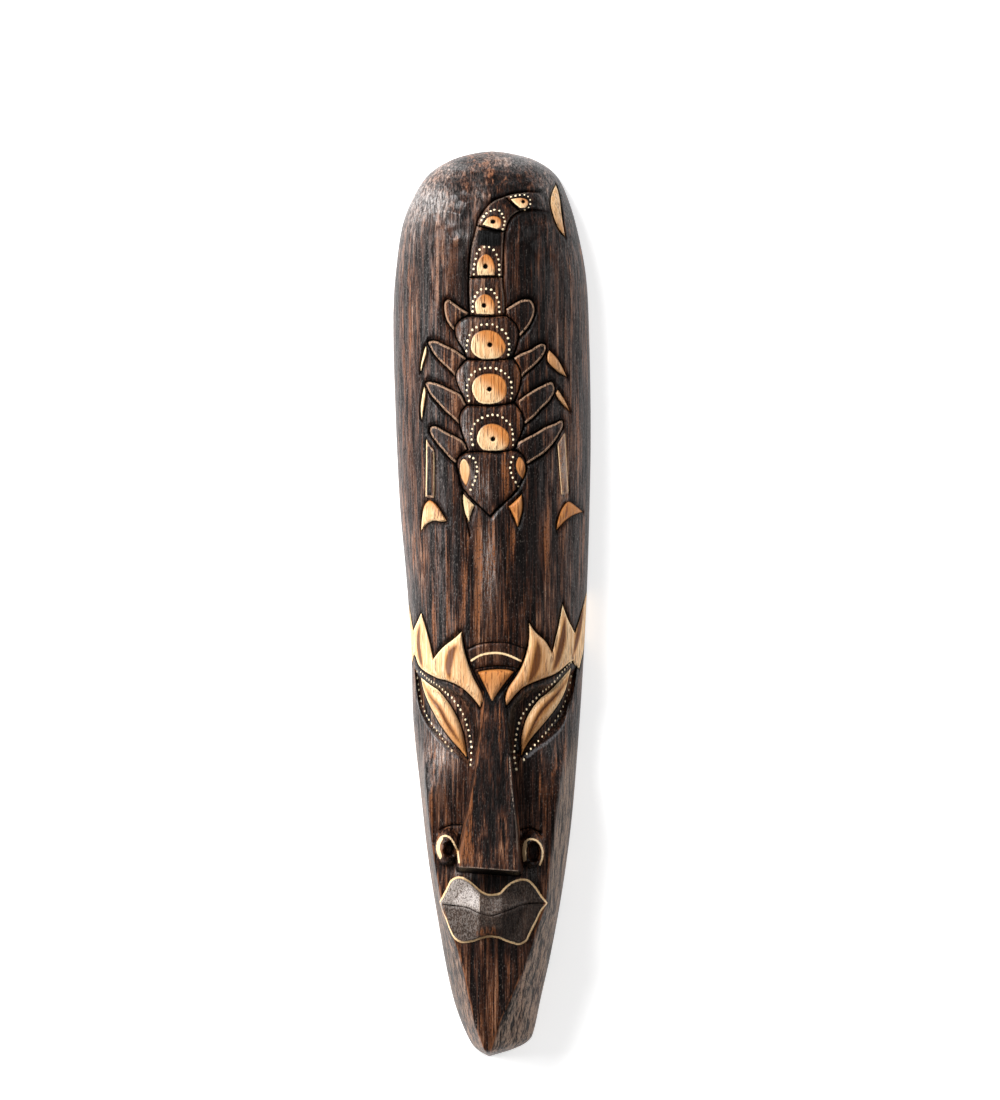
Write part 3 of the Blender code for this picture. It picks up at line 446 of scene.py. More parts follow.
DISCS = [
    [
        (-11.6, 140.6), (-11.0, 145.6), (-8.8, 148.9), (-4.9, 150.6), (-0.5, 150.6), (3.3, 148.9),
        (6.1, 145.6), (7.8, 141.7), (6.7, 137.8), (3.9, 135.4), (-1.1, 134.5), (-6.0, 134.8),
        (-9.9, 137.3),
    ],
    [
        (-11.0, 118.0), (-9.9, 122.9), (-6.6, 125.7), (-2.2, 126.8), (2.8, 126.2), (6.7, 123.5),
        (8.3, 119.1), (7.8, 114.6), (5.0, 111.3), (-0.5, 109.9), (-6.6, 110.5), (-9.4, 113.5),
    ],
    [
        (-8.3, 91.4), (-6.6, 95.9), (-3.3, 98.6), (1.1, 99.2), (5.6, 97.5), (8.9, 94.2),
        (9.7, 90.3), (8.9, 86.5), (5.6, 84.5), (0.0, 84.1), (-4.9, 84.8), (-7.4, 87.6),
    ],
    [
        (-8.0, 180.7), (-8.0, 180.7), (-8.3, 185.4), (-7.2, 189.8), (-3.8, 192.5), (-0.5, 190.9),
        (1.7, 185.9), (1.7, 180.7), (1.7, 180.7),
    ],
    [
        (-8.5, 159.4), (-8.5, 159.4), (-9.4, 164.4), (-8.3, 167.7), (-5.5, 170.2), (-1.6, 169.9),
        (1.1, 166.6), (1.7, 163.3), (1.4, 159.1), (1.4, 159.1),
    ],
    [
        (-5.2, 208.6), (-5.2, 208.6), (-2.7, 212.4), (0.6, 213.5), (3.9, 212.7), (5.3, 210.2),
        (4.7, 207.2), (2.2, 206.4), (-1.6, 207.5),
    ],
    [
        (10.2, 222.7), (10.2, 222.7), (14.9, 223.6), (18.8, 222.9), (20.2, 220.7), (18.8, 218.2),
        (16.0, 217.7), (16.0, 217.7), (13.3, 219.6),
    ],
]
HOLES = [
    (-1.1, 142.5), (-1.4, 118.0), (0.6, 90.6), (-3.6, 185.6), (-4.4, 164.1), (0.6, 210.2),
    (17.2, 221.3),
]
HOLE_RADIUS = 1.15

inlays = [on_sheet(loop) for loop in DISCS + HEAD_EYES]
blades = [on_sheet(loop) for loop in [STING] + JAWS + CLAWS + SLIVERS]
jaw_ground = on_sheet(JAW_GROUND, False)
holes = to_sheet(np.array(HOLES))
print(f"{len(inlays)} round shapes of bare wood, {len(blades)} pointed ones and {len(holes)} holes")

# %% [markdown]
# ## Brows and eyes
#
# Two crowns of pale leaves spread from the root of the nose to the sides of
# the mask, where the last leaf wraps round the flank. Between them a wedge and
# arcs are cut. A painter could draw all this on a flat mask, but here every
# leaf has a cut edge and a rounded face, as a knife leaves it.

# %% Crowns of leaves
LEFT_CROWN = [
    (-45.7, 0.3), (-45.7, 0.3), (-44.4, -8.6), (-43.3, -14.6), (-43.3, -14.6), (-38.9, -5.0),
    (-38.9, -5.0), (-36.7, -11.6), (-34.2, -20.7), (-32.2, -30.1), (-32.2, -30.1), (-27.0, -24.0),
    (-20.4, -18.8), (-16.5, -15.2), (-16.5, -15.2), (-15.7, -22.4), (-13.8, -30.1), (-10.5, -39.8),
    (-5.8, -48.6), (-4.8, -53.3), (-6.3, -57.5), (-6.3, -57.5), (-11.3, -51.1), (-17.1, -46.1),
    (-24.0, -42.7), (-29.8, -41.2), (-36.7, -37.6), (-40.3, -34.1), (-42.6, -28.5), (-43.9, -33.4),
    (-43.9, -33.4), (-44.4, -25.7), (-45.1, -14.6),
]
RIGHT_CROWN = [
    (7.8, -56.6), (7.8, -56.6), (7.2, -52.5), (9.1, -46.1), (14.7, -37.6), (18.3, -29.0),
    (20.3, -19.3), (20.3, -9.9), (20.3, -9.9), (23.8, -15.2), (29.6, -20.7), (33.2, -27.1),
    (33.2, -27.1), (34.6, -20.7), (36.8, -11.3), (38.8, 0.0), (38.8, 0.0), (41.7, -8.0),
    (45.7, -16.0), (45.7, -16.0), (48.6, -6.9), (52.7, 8.0), (52.7, 8.0), (52.2, -3.6),
    (50.9, -22.9), (48.1, -36.2), (48.1, -36.2), (45.3, -33.4), (43.7, -32.0), (35.4, -38.4),
    (26.8, -41.9), (19.6, -44.8), (14.1, -48.9),
]
WEDGE = [
    (-8.0, -37.6), (-8.0, -37.6), (-3.8, -36.5), (2.8, -35.9), (8.9, -36.2), (12.2, -37.3),
    (12.2, -37.3), (6.1, -45.0), (0.0, -53.9), (0.0, -53.9), (-4.4, -44.5),
]
V_GROOVES = [
    [(-16.3, -16.9), (-13.8, -28.5), (-9.4, -38.4), (-0.8, -55.0)],
    [(19.9, -22.9), (16.3, -32.3), (12.5, -39.0), (0.9, -55.0)],
]
ARCS = [
    [(-13.8, -25.1), (-6.6, -22.1), (1.7, -21.3), (10.0, -21.8), (18.3, -24.9)],
    [(-9.1, -35.9), (-3.3, -34.8), (2.8, -34.4), (8.9, -34.7), (13.8, -35.6)],
]
PALE_ARC = [
    (-11.3, -31.2), (-6.6, -28.5), (-1.1, -27.2), (4.4, -27.2), (10.0, -28.7), (16.0, -31.5),
]
STREAKS = [
    [(-39.8, -11.3), (-40.6, -20.2), (-39.8, -28.5), (-38.1, -35.1)],
    [(-19.3, -22.4), (-22.6, -27.9), (-24.0, -34.5), (-23.2, -41.7)],
    [(24.9, -19.1), (25.4, -26.8), (23.8, -35.1), (19.9, -43.9)],
    [(40.4, -6.9), (39.0, -19.1), (35.9, -31.2), (33.2, -37.8)],
    [(50.6, -1.9), (48.1, -14.6), (44.8, -28.5)],
]

crowns = [on_sheet(loop) for loop in (LEFT_CROWN, RIGHT_CROWN)]
wedge = on_sheet(WEDGE)
v_grooves = [on_sheet(line, False) for line in V_GROOVES]
arcs = [on_sheet(line, False) for line in ARCS]
pale_arc = on_sheet(PALE_ARC, False)
streaks = [on_sheet(line, False) for line in STREAKS]
print(f"crowns of {[len(loop) for loop in crowns]} places, with {len(streaks)} brown streaks")

# %% [markdown]
# ## Eyes
#
# Each eye is a sunk socket with a leaf standing in it, halved by a brown vein.
# A bevel leads down into the socket from the cheek, and a grey highlight is painted along its lower
# outer part. Balls under lids would be another face altogether: these masks have leaves for eyes.

# %% Sockets and eyes
LEFT_SOCKET = [
    (-43.1, -33.4), (-43.1, -33.4), (-39.8, -36.7), (-35.3, -40.1), (-28.7, -42.3), (-22.1, -44.5),
    (-16.5, -47.8), (-12.1, -51.7), (-7.7, -56.6), (-6.6, -61.6), (-6.0, -69.9), (-6.6, -78.2),
    (-8.8, -84.8), (-11.0, -90.9), (-11.0, -90.9), (-16.5, -87.0), (-23.2, -83.1), (-30.4, -75.4),
    (-35.9, -68.2), (-39.8, -59.9), (-41.4, -50.6), (-42.5, -41.2),
]
RIGHT_SOCKET = [
    (47.5, -31.8), (47.5, -31.8), (43.1, -35.1), (37.6, -38.4), (31.0, -41.7), (23.8, -43.4),
    (18.3, -46.1), (13.3, -50.6), (8.9, -56.6), (8.3, -61.6), (8.3, -72.7), (9.4, -80.9),
    (11.1, -86.5), (12.2, -90.9), (12.2, -90.9), (17.7, -84.8), (22.7, -80.9), (29.3, -77.1),
    (35.4, -71.5), (39.8, -65.5), (42.6, -58.8), (44.2, -53.3), (46.4, -42.3),
]
# Lines on the lower outer bevels of the sockets, where a grey highlight is painted
BEVEL_HIGHLIGHTS = [
    [(-41.4, -53.3), (-38.6, -62.2), (-33.7, -70.4), (-26.5, -78.2), (-18.8, -84.8)],
    [(43.7, -50.0), (42.0, -57.7), (39.8, -66.6), (33.2, -74.3), (24.3, -80.4), (19.4, -84.3)],
]
LEFT_EYE = [
    (-39.2, -40.6), (-39.2, -40.6), (-34.2, -44.5), (-29.3, -47.8), (-25.1, -52.8), (-21.5, -58.0),
    (-18.2, -64.4), (-16.0, -70.4), (-14.6, -76.5), (-13.5, -85.4), (-13.5, -85.4), (-17.4, -80.7),
    (-22.6, -74.9), (-27.9, -67.7), (-32.0, -60.5), (-35.3, -53.9), (-37.8, -47.2),
]
RIGHT_EYE = [
    (43.7, -35.1), (43.7, -35.1), (39.3, -40.1), (35.4, -44.5), (31.0, -48.6), (26.5, -52.2),
    (22.4, -57.2), (19.1, -63.0), (17.2, -68.8), (16.0, -75.4), (16.2, -84.3), (16.2, -84.3),
    (18.3, -79.3), (21.6, -74.3), (25.4, -69.9), (29.9, -64.6), (34.0, -59.4), (37.6, -53.9),
    (40.4, -48.1), (42.0, -42.3),
]
VEINS = [
    [
        (-38.1, -43.4), (-33.7, -51.7), (-28.7, -58.3), (-24.8, -65.5), (-21.0, -71.5),
        (-16.5, -78.2), (-14.1, -84.3),
    ],
    [
        (42.6, -40.1), (36.5, -48.9), (31.0, -55.0), (26.5, -60.5), (23.2, -66.6), (19.4, -74.3),
        (16.9, -82.0),
    ],
]

sockets = [on_sheet(loop) for loop in (LEFT_SOCKET, RIGHT_SOCKET)]
eyes = [on_sheet(loop) for loop in (LEFT_EYE, RIGHT_EYE)]
bevel_highlights = [on_sheet(line, False) for line in BEVEL_HIGHLIGHTS]
veins = [on_sheet(line, False) for line in VEINS]
print(f"eyes: {sum(len(loop) for loop in sockets + eyes)} places on four outlines")

# %% [markdown]
# ## Nose
#
# The nose is a long flat plane that widens and rises towards its tip, cut off
# square below. Wings swell beside it, each with a hollowed nostril in a pale
# ring. It could be a piece of its own that is set on, but the real one is
# carved from the same log, so it only adds lines here and height later.

# %% Nose and nostrils
NOSE_LEFT_EDGE = [
    (-4.4, -47.8), (-6.3, -69.9), (-8.3, -89.2), (-13.2, -116.9), (-16.3, -133.4), (-17.7, -143.6),
]
NOSE_RIGHT_EDGE = [
    (6.1, -47.8), (8.6, -69.9), (10.5, -89.2), (12.7, -116.9), (13.8, -133.4), (14.4, -145.9),
]
NOSE_ROOT_Y = -53.3
NOSE_TIP_Y = -145.8
NOSE_TIP_SLANT = 0.075
NOSE_UNDERCUT = 2.4
WINGS = [((-24.3, -134.0), 7.2, 10.2), ((21.9, -135.1), 7.2, 10.2)]  # centre, half across, half up
NOSTRILS = [((-23.5, -135.1), 3.0, 4.6), ((23.0, -136.7), 3.9, 6.0)]
NOSTRIL_RINGS = [
    [
        (-28.4, -140.1), (-30.0, -136.2), (-30.0, -132.3), (-28.4, -129.0), (-25.7, -127.7),
        (-22.9, -129.0), (-20.7, -132.3), (-19.0, -136.2), (-18.0, -142.3),
    ],
    [
        (17.7, -141.7), (17.2, -136.7), (17.7, -132.3), (19.9, -129.9), (23.2, -129.7),
        (26.3, -132.0), (27.9, -136.2), (27.7, -140.1), (26.4, -143.9),
    ],
]
WING_GROOVES = [
    [(-28.7, -124.6), (-23.2, -122.1), (-16.5, -121.8)],
    [(15.5, -124.6), (21.0, -123.5), (27.1, -126.2)],
]
THICK_RINGS = [
    [(-28.1, -139.0), (-29.1, -135.6), (-29.0, -131.8), (-27.6, -129.3)],
    [(18.3, -140.6), (18.1, -136.2), (18.8, -132.3)],
]
NOSE_SHINE = [(9.7, -84.8), (10.8, -101.9), (13.3, -120.7), (14.1, -136.2)]

nose_left_at = across_at(NOSE_LEFT_EDGE)
nose_right_at = across_at(NOSE_RIGHT_EDGE)


def tip_at(x):
    """y of the tip's lower edge, which slants a little."""
    return NOSE_TIP_Y - NOSE_TIP_SLANT * x


tip_ends = [NOSE_LEFT_EDGE[-1][0], NOSE_RIGHT_EDGE[-1][0]]
nose_tip = on_sheet([(x, tip_at(x)) for x in tip_ends], False)
nose_foot = on_sheet([(x, tip_at(x) - NOSE_UNDERCUT) for x in tip_ends], False)
nose_edges = [on_sheet(line, False) for line in (NOSE_LEFT_EDGE, NOSE_RIGHT_EDGE)]
nose_shine = on_sheet(NOSE_SHINE, False)
arcs += [on_sheet(line, False) for line in WING_GROOVES]
nostril_rings = [on_sheet(line, False) for line in NOSTRIL_RINGS]
thick_rings = [on_sheet(line, False) for line in THICK_RINGS]
print(f"nose {NOSE_ROOT_Y - NOSE_TIP_Y:.0f} mm long, with {len(nostril_rings)} rings")

# %% [markdown]
# ## Mouth and jaw
#
# The lips are a few flat facets, as broad chisel cuts leave them, round a
# curved parting line, and a pale line runs round both. The ridges between the
# facets are lines of the mesh, so that they stay crisp, and so are the edges
# where the jaw's front turns into its sides.

# %% Mouth and jaw
MOUTH = [
    (-28.7, -164.4), (-28.7, -164.4), (-25.4, -158.3), (-22.6, -152.8), (-19.3, -150.8),
    (-16.0, -151.1), (-12.1, -153.3), (-8.3, -156.6), (-5.5, -158.8), (-2.2, -160.2), (1.1, -160.2),
    (4.4, -159.4), (7.2, -156.6), (10.5, -153.9), (13.8, -152.5), (17.2, -151.9), (20.5, -152.8),
    (23.8, -156.1), (27.1, -161.0), (30.4, -164.9), (30.4, -164.9), (27.1, -168.8), (24.9, -173.2),
    (22.7, -177.6), (20.5, -182.0), (18.8, -185.4), (14.9, -187.3), (11.1, -186.5), (7.2, -185.1),
    (3.9, -183.7), (-1.1, -183.1), (-6.0, -184.0), (-9.9, -185.4), (-14.3, -186.2), (-17.7, -185.9),
    (-21.0, -183.4), (-23.2, -179.3), (-25.4, -173.2), (-27.6, -168.2),
]
PARTING = [
    (-27.0, -165.5), (-22.1, -166.0), (-16.5, -166.6), (-12.1, -167.7), (-8.3, -169.6),
    (-1.6, -171.8), (2.8, -171.0), (7.2, -169.3), (11.6, -167.7), (16.0, -166.0), (22.1, -164.9),
    (29.3, -164.9),
]
LIP_CREASES = [  # ridges between the facets, the first of which shines
    [(-6.9, -158.8), (-6.9, -168.8)], [(5.6, -158.8), (5.6, -168.8)],
    [(-6.9, -171.5), (-6.9, -182.0)], [(5.6, -171.5), (5.6, -182.6)],
]

mouth = on_sheet(MOUTH)
parting = on_sheet(PARTING, False)
lip_creases = [on_sheet(line, False) for line in LIP_CREASES]
jaw_edges = [on_sheet(line, False) for line in (LEFT_JAW_EDGE[2:], RIGHT_JAW_EDGE[2:])]
print(f"mouth of {len(mouth)} places, with {len(lip_creases)} creases")

# %% [markdown]
# ## Rows of dots
#
# The dots are drops of thick cream paint, about 1.3 mm wide and never quite
# even. Each row follows a curve and has as many dots as the real one. They
# could be left to the shader as a pattern, but as small raised rounds of the
# mesh they keep their places and stand up a little, as dried paint does.

# %% Rows of dots
DOT_ROWS = [
    [
        (10.5, 224.0), (14.4, 225.0), (17.7, 225.1), (20.2, 224.0), (21.3, 221.3), (20.5, 218.5),
        (18.3, 216.9),
    ],
    [
        (-5.5, 211.3), (-3.3, 214.4), (-0.5, 216.3), (2.2, 216.9), (5.0, 215.7), (6.7, 212.4),
        (6.9, 209.1), (6.1, 206.1),
    ],
    [
        (-9.9, 181.2), (-9.9, 185.9), (-8.5, 191.7), (-6.6, 195.3), (-3.0, 196.4), (0.6, 195.0),
        (3.3, 190.3), (4.1, 185.9), (4.0, 180.9),
    ],
    [
        (-10.5, 161.0), (-10.5, 166.0), (-8.8, 170.2), (-6.0, 172.9), (-2.7, 173.3), (0.6, 172.1),
        (3.1, 167.7), (3.9, 163.3), (4.1, 160.5),
    ],
    [
        (-14.1, 139.0), (-13.0, 145.9), (-10.7, 150.6), (-6.3, 153.3), (-3.0, 153.7), (0.6, 153.6),
        (4.2, 151.7), (7.5, 149.2), (9.1, 144.8), (9.6, 140.3), (9.1, 137.0),
    ],
    [
        (-12.4, 111.6), (-13.8, 117.4), (-13.0, 122.7), (-11.3, 126.0), (-8.3, 128.5),
        (-3.8, 129.8), (0.6, 129.9), (5.0, 128.2), (8.6, 125.7), (10.7, 121.8), (11.0, 117.4),
        (10.5, 113.0),
    ],
    [
        (-10.7, 87.6), (-11.4, 92.5), (-10.5, 97.2), (-8.3, 100.3), (-4.9, 102.7), (-0.2, 103.9),
        (3.9, 103.6), (6.7, 101.7), (9.7, 98.9), (11.4, 94.8), (11.6, 90.9), (11.6, 87.3),
    ],
    [(-12.4, 80.9), (-9.9, 79.6), (-8.5, 76.5), (-8.4, 72.1), (-9.4, 68.2), (-11.6, 63.0)],
    [(11.5, 80.7), (10.5, 77.6), (10.2, 73.8), (11.4, 69.9), (12.7, 67.4), (14.7, 64.6)],
    [
        (-39.2, -37.6), (-35.3, -41.4), (-30.1, -44.8), (-25.4, -48.6), (-20.4, -53.9),
        (-16.0, -60.8), (-13.2, -68.5), (-11.6, -76.0), (-11.4, -82.6), (-11.9, -88.7),
    ],
    [
        (-41.4, -37.3), (-40.9, -43.4), (-39.8, -50.6), (-37.5, -58.3), (-34.2, -64.9),
        (-30.1, -70.4), (-25.4, -76.8), (-22.1, -80.9),
    ],
    [
        (43.7, -32.3), (38.7, -37.8), (33.7, -43.9), (27.1, -49.2), (20.5, -56.1), (16.0, -63.0),
        (13.8, -70.4), (12.6, -79.3), (12.7, -85.4), (13.5, -90.9),
    ],
    [
        (43.7, -40.1), (42.6, -46.7), (40.6, -53.3), (37.0, -61.0), (32.9, -67.1), (28.5, -72.4),
        (23.5, -77.9), (19.4, -82.3), (17.7, -85.9),
    ],
]
DOT_COUNTS = [9, 11, 14, 13, 16, 18, 17, 9, 7, 26, 18, 28, 18]
DOT_RADIUS = 0.66
DOT_UNEVEN = 0.12  # they stray that far
DOT_SPREAD = (0.82, 1.15)  # their sizes differ that much
chance = np.random.default_rng(7)


def spread(points, count):
    """A number of places evenly along a drawn line, with both its ends."""
    line = on_sheet(points, False, DOT_RADIUS / 4)
    return line[np.linspace(0, len(line) - 1, count).round().astype(int)]


dots = np.vstack([spread(points, count) for points, count in zip(DOT_ROWS, DOT_COUNTS)])
dots = dots + chance.normal(0, DOT_UNEVEN, dots.shape)
dot_sizes = DOT_RADIUS * chance.uniform(*DOT_SPREAD, len(dots))
print(f"{len(dots)} dots in {len(DOT_ROWS)} rows")

# %% [markdown]
# ## Measuring from the lines
#
# All relief and all colour follow from one thing: how far a place is from each
# line. The distance to a stroke from a to b is the distance to its nearest
# point a + s (b - a), with s held between 0 and 1. Inside a closed line it
# counts as positive, outside as negative. Ray crossings tell which is which.

# %% Distances
FAR = 99.0
REACH = 7.0  # distances are worked out this far from a line


def distance_from(places, line):
    """Distance of each sheet place from a line, FAR where that isn't near."""
    near = ((places > line.min(0) - REACH) & (places < line.max(0) + REACH)).all(1)
    start, run = line[:-1], np.diff(line, axis=0)
    some = places[near]
    least = np.full(len(some), FAR)
    for a, b in zip(start, run):
        share = np.clip((some - a) @ b / (b @ b), 0, 1)
        least = np.minimum(least, np.hypot(*(some - a - share[:, None] * b).T))
    distance = np.full(len(places), FAR)
    distance[near] = least
    return distance


def inside(places, loop):
    """True within a closed line, which a ray to the right then crosses an odd number of times."""
    near = ((places >= loop.min(0)) & (places <= loop.max(0))).all(1)
    x, y = places[near].T
    odd = np.zeros(len(x), bool)
    for (x0, y0), (x1, y1) in zip(loop, np.roll(loop, -1, axis=0)):
        if y0 != y1:
            odd ^= ((y0 > y) != (y1 > y)) & (x < x0 + (y - y0) * (x1 - x0) / (y1 - y0))
    result = np.zeros(len(places), bool)
    result[near] = odd
    return result


def depth_inside(places, loop):
    """Distance of each sheet place from a closed line, negative outside it."""
    distance = distance_from(places, np.vstack([loop, loop[:1]]))
    return np.where(inside(places, loop), 1, -1) * distance


def deepest_inside(places, loops):
    """The greatest depth inside any of several closed lines."""
    return np.max([depth_inside(places, loop) for loop in loops], axis=0)


def nearest(places, lines):
    """The least distance from any of several lines."""
    return np.min([distance_from(places, line) for line in lines], axis=0)


wedge_middle = wedge.mean(0, keepdims=True)
print(f"the middle of the wedge is {depth_inside(wedge_middle, wedge)[0]:.1f} mm inside its outline")

# %% [markdown]
# ## Edge of the mask
#
# Front and back meet in the mask's edge, and both are trimmed to it. Its places
# are spaced evenly on the sheet and then looked up on the drawing.

# %% Edge
EDGE_STEP = 1.9
OUTLINE_PLACES = 2001


def outline_of_mask():
    """The mask's edge, anticlockwise from the crown, on the drawing and on the sheet."""
    steps = (1 - np.cos(np.linspace(0, math.pi, OUTLINE_PLACES))) / 2
    drawn, rolled = [], []
    for side, start, end in ((-1, CROWN_Y, CHIN_Y), (1, CHIN_Y, CROWN_Y)):
        y = start + (end - start) * steps
        edge = evenly(unrolled(y, np.full(len(y), side), np.ones(len(y))), EDGE_STEP)[:-1]
        edge_y = rolled_back(edge)[0]
        edge_y[0] = start
        drawn.append(np.column_stack([(left_at if side < 0 else right_at)(edge_y), edge_y]))
        rolled.append(edge)
    return np.vstack(drawn), np.vstack(rolled)


edge, edge_sheet = outline_of_mask()
sheet_reach = np.array([edge_sheet.min(0) - 1, edge_sheet.max(0) + 1])
print(f"edge of {len(edge)} places, on a sheet of", (sheet_reach[1] - sheet_reach[0]).round(), "mm")

# %% [markdown]
# ## Places for the mesh
#
# A constrained triangulation joins scattered places and keeps the drawn lines
# as edges, so that each cut has a crisp bottom. Places are dense beside the
# lines, in rings at fixed distances, and sparse on plain wood. A bitmap of the
# sheet keeps them apart: each place that is taken blackens a small round, and
# a later one is dropped where it falls on black.

# %% Bitmap that keeps places apart
PIXEL = 0.2
MARGIN = 12  # pixels round the sheet
EDGE_GAP = 1.2
LINE_GAP = 0.35

taken = np.zeros(((sheet_reach[1] - sheet_reach[0]) / PIXEL).astype(int) + 2 * MARGIN, bool)


def pixels(places):
    """Column and row of each sheet place in the bitmap."""
    return tuple(((places - sheet_reach[0]) / PIXEL).astype(int).T + MARGIN)


def blacken(places, gap):
    """Marks a round of that radius about each place as taken."""
    size = int(gap / PIXEL)
    for du in range(-size, size + 1):
        for dv in range(-size, size + 1):
            if du * du + dv * dv <= size * size:
                u, v = pixels(places)
                taken[u + du, v + dv] = True


def keep_free(places, gap):
    """Those places that fall on free pixels, which they then take."""
    free = places[~taken[pixels(places)]]
    blacken(free, gap)
    return free


cut_loops = [scorpion] + lower_legs + blades + crowns + [wedge] + sockets + eyes
cut_lines = joints + legs + [jaw_ground] + v_grooves + arcs + [nose_foot, parting]
drawn_loops = inlays + [mouth]
drawn_lines = veins + streaks + [pale_arc] + nostril_rings + lip_creases
drawn_lines += nose_edges + [nose_tip] + jaw_edges
loops = cut_loops + drawn_loops
lines = cut_lines + drawn_lines
blacken(edge_sheet, EDGE_GAP)
for line in loops + lines:
    blacken(line, LINE_GAP)
print(f"{len(loops)} closed lines and {len(lines)} open ones take {taken.mean():.0%} of the bitmap")

# %% Places beside the lines and between them
ROUND_GAP = 0.27
DOT_RINGS = (1.0, 1.55)  # radii round a dot, in dot radii
HOLE_RINGS = (0.55, 1.0, 1.4)
RINGS = (0.55, 1.15, 2.2)  # distances from each line
RING_GAP = 0.27  # free round a place beside a line, and more with the ring's distance
RING_GAP_GROWTH = 0.225
CARVED_GRID = 1.45
SIDE_GRID = 2.05
GRID_GAP = 0.62  # share of a grid's step that its places keep from others
CARVED_HALF_WIDTH = 62.0


def rounds(centres, radii):
    """Eight places on a circle about each centre."""
    angle = np.linspace(0, 2 * math.pi, 8, endpoint=False)
    circle = np.column_stack([np.cos(angle), np.sin(angle)])
    return (centres[:, None] + radii[:, None, None] * circle).reshape(-1, 2)


def beside(line, distance, closed):
    """Places at a distance to the left of each place of a line."""
    if closed:
        run = np.roll(line, -1, axis=0) - np.roll(line, 1, axis=0)
    else:
        run = np.gradient(line, axis=0)
    out = np.column_stack([-run[:, 1], run[:, 0]]) / np.hypot(*run.T)[:, None]
    return line + distance * out


def grid(step, half_width):
    """Places of a triangular grid over the mask's part of the sheet, that far to each side."""
    rows = np.arange(*sheet_reach[:, 1], step * math.sqrt(3) / 2)
    columns = np.arange(*sheet_reach[:, 0], step)
    u, v = np.meshgrid(columns, rows)
    u[1::2] += step / 2
    spots = np.column_stack([u.ravel(), v.ravel()])
    return spots[(abs(spots[:, 0]) < half_width) & inside(spots, edge_sheet)]


places = [edge_sheet] + loops + lines
places += [keep_free(dots, ROUND_GAP)]
for ring in DOT_RINGS:
    places += [keep_free(rounds(dots, ring * dot_sizes), ROUND_GAP)]
places += [keep_free(holes, ROUND_GAP)]
for ring in HOLE_RINGS:
    places += [keep_free(rounds(holes, np.full(len(holes), ring * HOLE_RADIUS)), ROUND_GAP)]
for ring in RINGS:
    for number, line in enumerate(loops + lines):
        for side in (1, -1):
            row = beside(line, side * ring, number < len(loops))
            places += [keep_free(row, RING_GAP + RING_GAP_GROWTH * ring)]
for step, half in ((CARVED_GRID, CARVED_HALF_WIDTH), (SIDE_GRID, np.inf)):
    places += [keep_free(grid(step, half), GRID_GAP * step)]
count = np.cumsum([0] + [len(part) for part in places])
places = np.vstack(places)
print(f"{len(places)} places, of which {count[1 + len(loops + lines)]} on the lines")

# %% Triangles over the sheet
WELD = 1e-4  # places that are nearer than this would be joined


def triangulated(places, rim, loops, lines):
    """Sheet places and triangles inside a rim, with the edges of the lines kept."""
    edges = []
    for loop in loops:
        edges += zip(loop, np.roll(loop, -1))
    for line in lines:
        edges += zip(line[:-1], line[1:])
    edges = [(int(a), int(b)) for a, b in edges]
    places = [Vector(place) for place in places]
    found = delaunay_2d_cdt(places, edges, [rim.tolist()], 0, WELD, True)
    within = np.array([bool(source) for source in found[5]])
    return np.array(found[0]), np.array(found[2])[within]


runs = [np.arange(a, b) for a, b in zip(count[1:], count[2 : 2 + len(loops + lines)])]
loop_runs, line_runs = runs[: len(loops)], runs[len(loops) :]
sheet, front_triangles = triangulated(places, np.arange(len(edge)), loop_runs, line_runs)
assert np.allclose(sheet[: len(edge)], edge_sheet, atol=WELD)
y, side, t = rolled_back(sheet)
x = front_at(y) + side * half_width(y, side) * t
x[: len(edge)], y[: len(edge)] = edge.T
print(f"{len(sheet)} places and {len(front_triangles)} triangles in the front")

# %% [markdown]
# ## Shapes of cuts and bulges
#
# A knife cut is a V with hollow sides, steeper towards the figure than towards
# the ground, and a sharp nick at its bottom. What stands up is rounded like a
# cushion towards its outline. A chisel leaves shallow scoops that meet in faint
# ridges, which is the squared distance to the nearest of many scattered points.

# %% Profiles
CUT_SHOULDER = 1.0  # width of a cut on the figure's side
CUT_GROUND = 2.6  # and on the ground's side
CUT_HOLLOW = 1.3
NICK_HALF_WIDTH = 0.6
SCOOP_CELLS = 61


def cut(distance, shoulder=CUT_SHOULDER, ground=CUT_GROUND):
    """Share of a knife cut's depth at a distance from it, negative on the ground."""
    width = np.where(distance > 0, shoulder, ground)
    return np.clip(1 - abs(distance) / width, 0, 1) ** CUT_HOLLOW


def nick(distance, half_width=NICK_HALF_WIDTH):
    """1 on a line, falling straight to 0 at half a width from it."""
    return np.clip(1 - abs(distance) / half_width, 0, 1)


def bulge(distance, width):
    """0 at an outline, rising to 1 a width inside it: 1 - (1 - s)^2."""
    return 1 - (1 - np.clip(distance / width, 0, 1)) ** 2


def ellipse_share(centre, half_across, half_up):
    """0 in the middle of an ellipse and 1 on its edge."""
    return np.hypot((x - centre[0]) / half_across, (y - centre[1]) / half_up)


def scoops(places, cell, seed):
    """Squared distance, in cells, to the nearest of many points scattered one a cell."""
    jitter = np.random.default_rng(seed).random((SCOOP_CELLS, SCOOP_CELLS, 2))
    home = np.floor(places / cell).astype(int)
    least = np.full(len(places), FAR)
    for du in (-1, 0, 1):
        for dv in (-1, 0, 1):
            at = home + (du, dv)
            centre = at + jitter[at[:, 0] % SCOOP_CELLS, at[:, 1] % SCOOP_CELLS]
            least = np.minimum(least, ((places / cell - centre) ** 2).sum(1))
    return least


print("a cut 1, 0 and -1 mm from its line:", cut(np.array([1.0, 0.0, -1.0])).round(2))

# %% [markdown]
# ## How far each place is from each figure
#
# Each of these is one number a place: positive inside the figure, negative
# outside. The body hides the legs, so there a leg counts as far away.

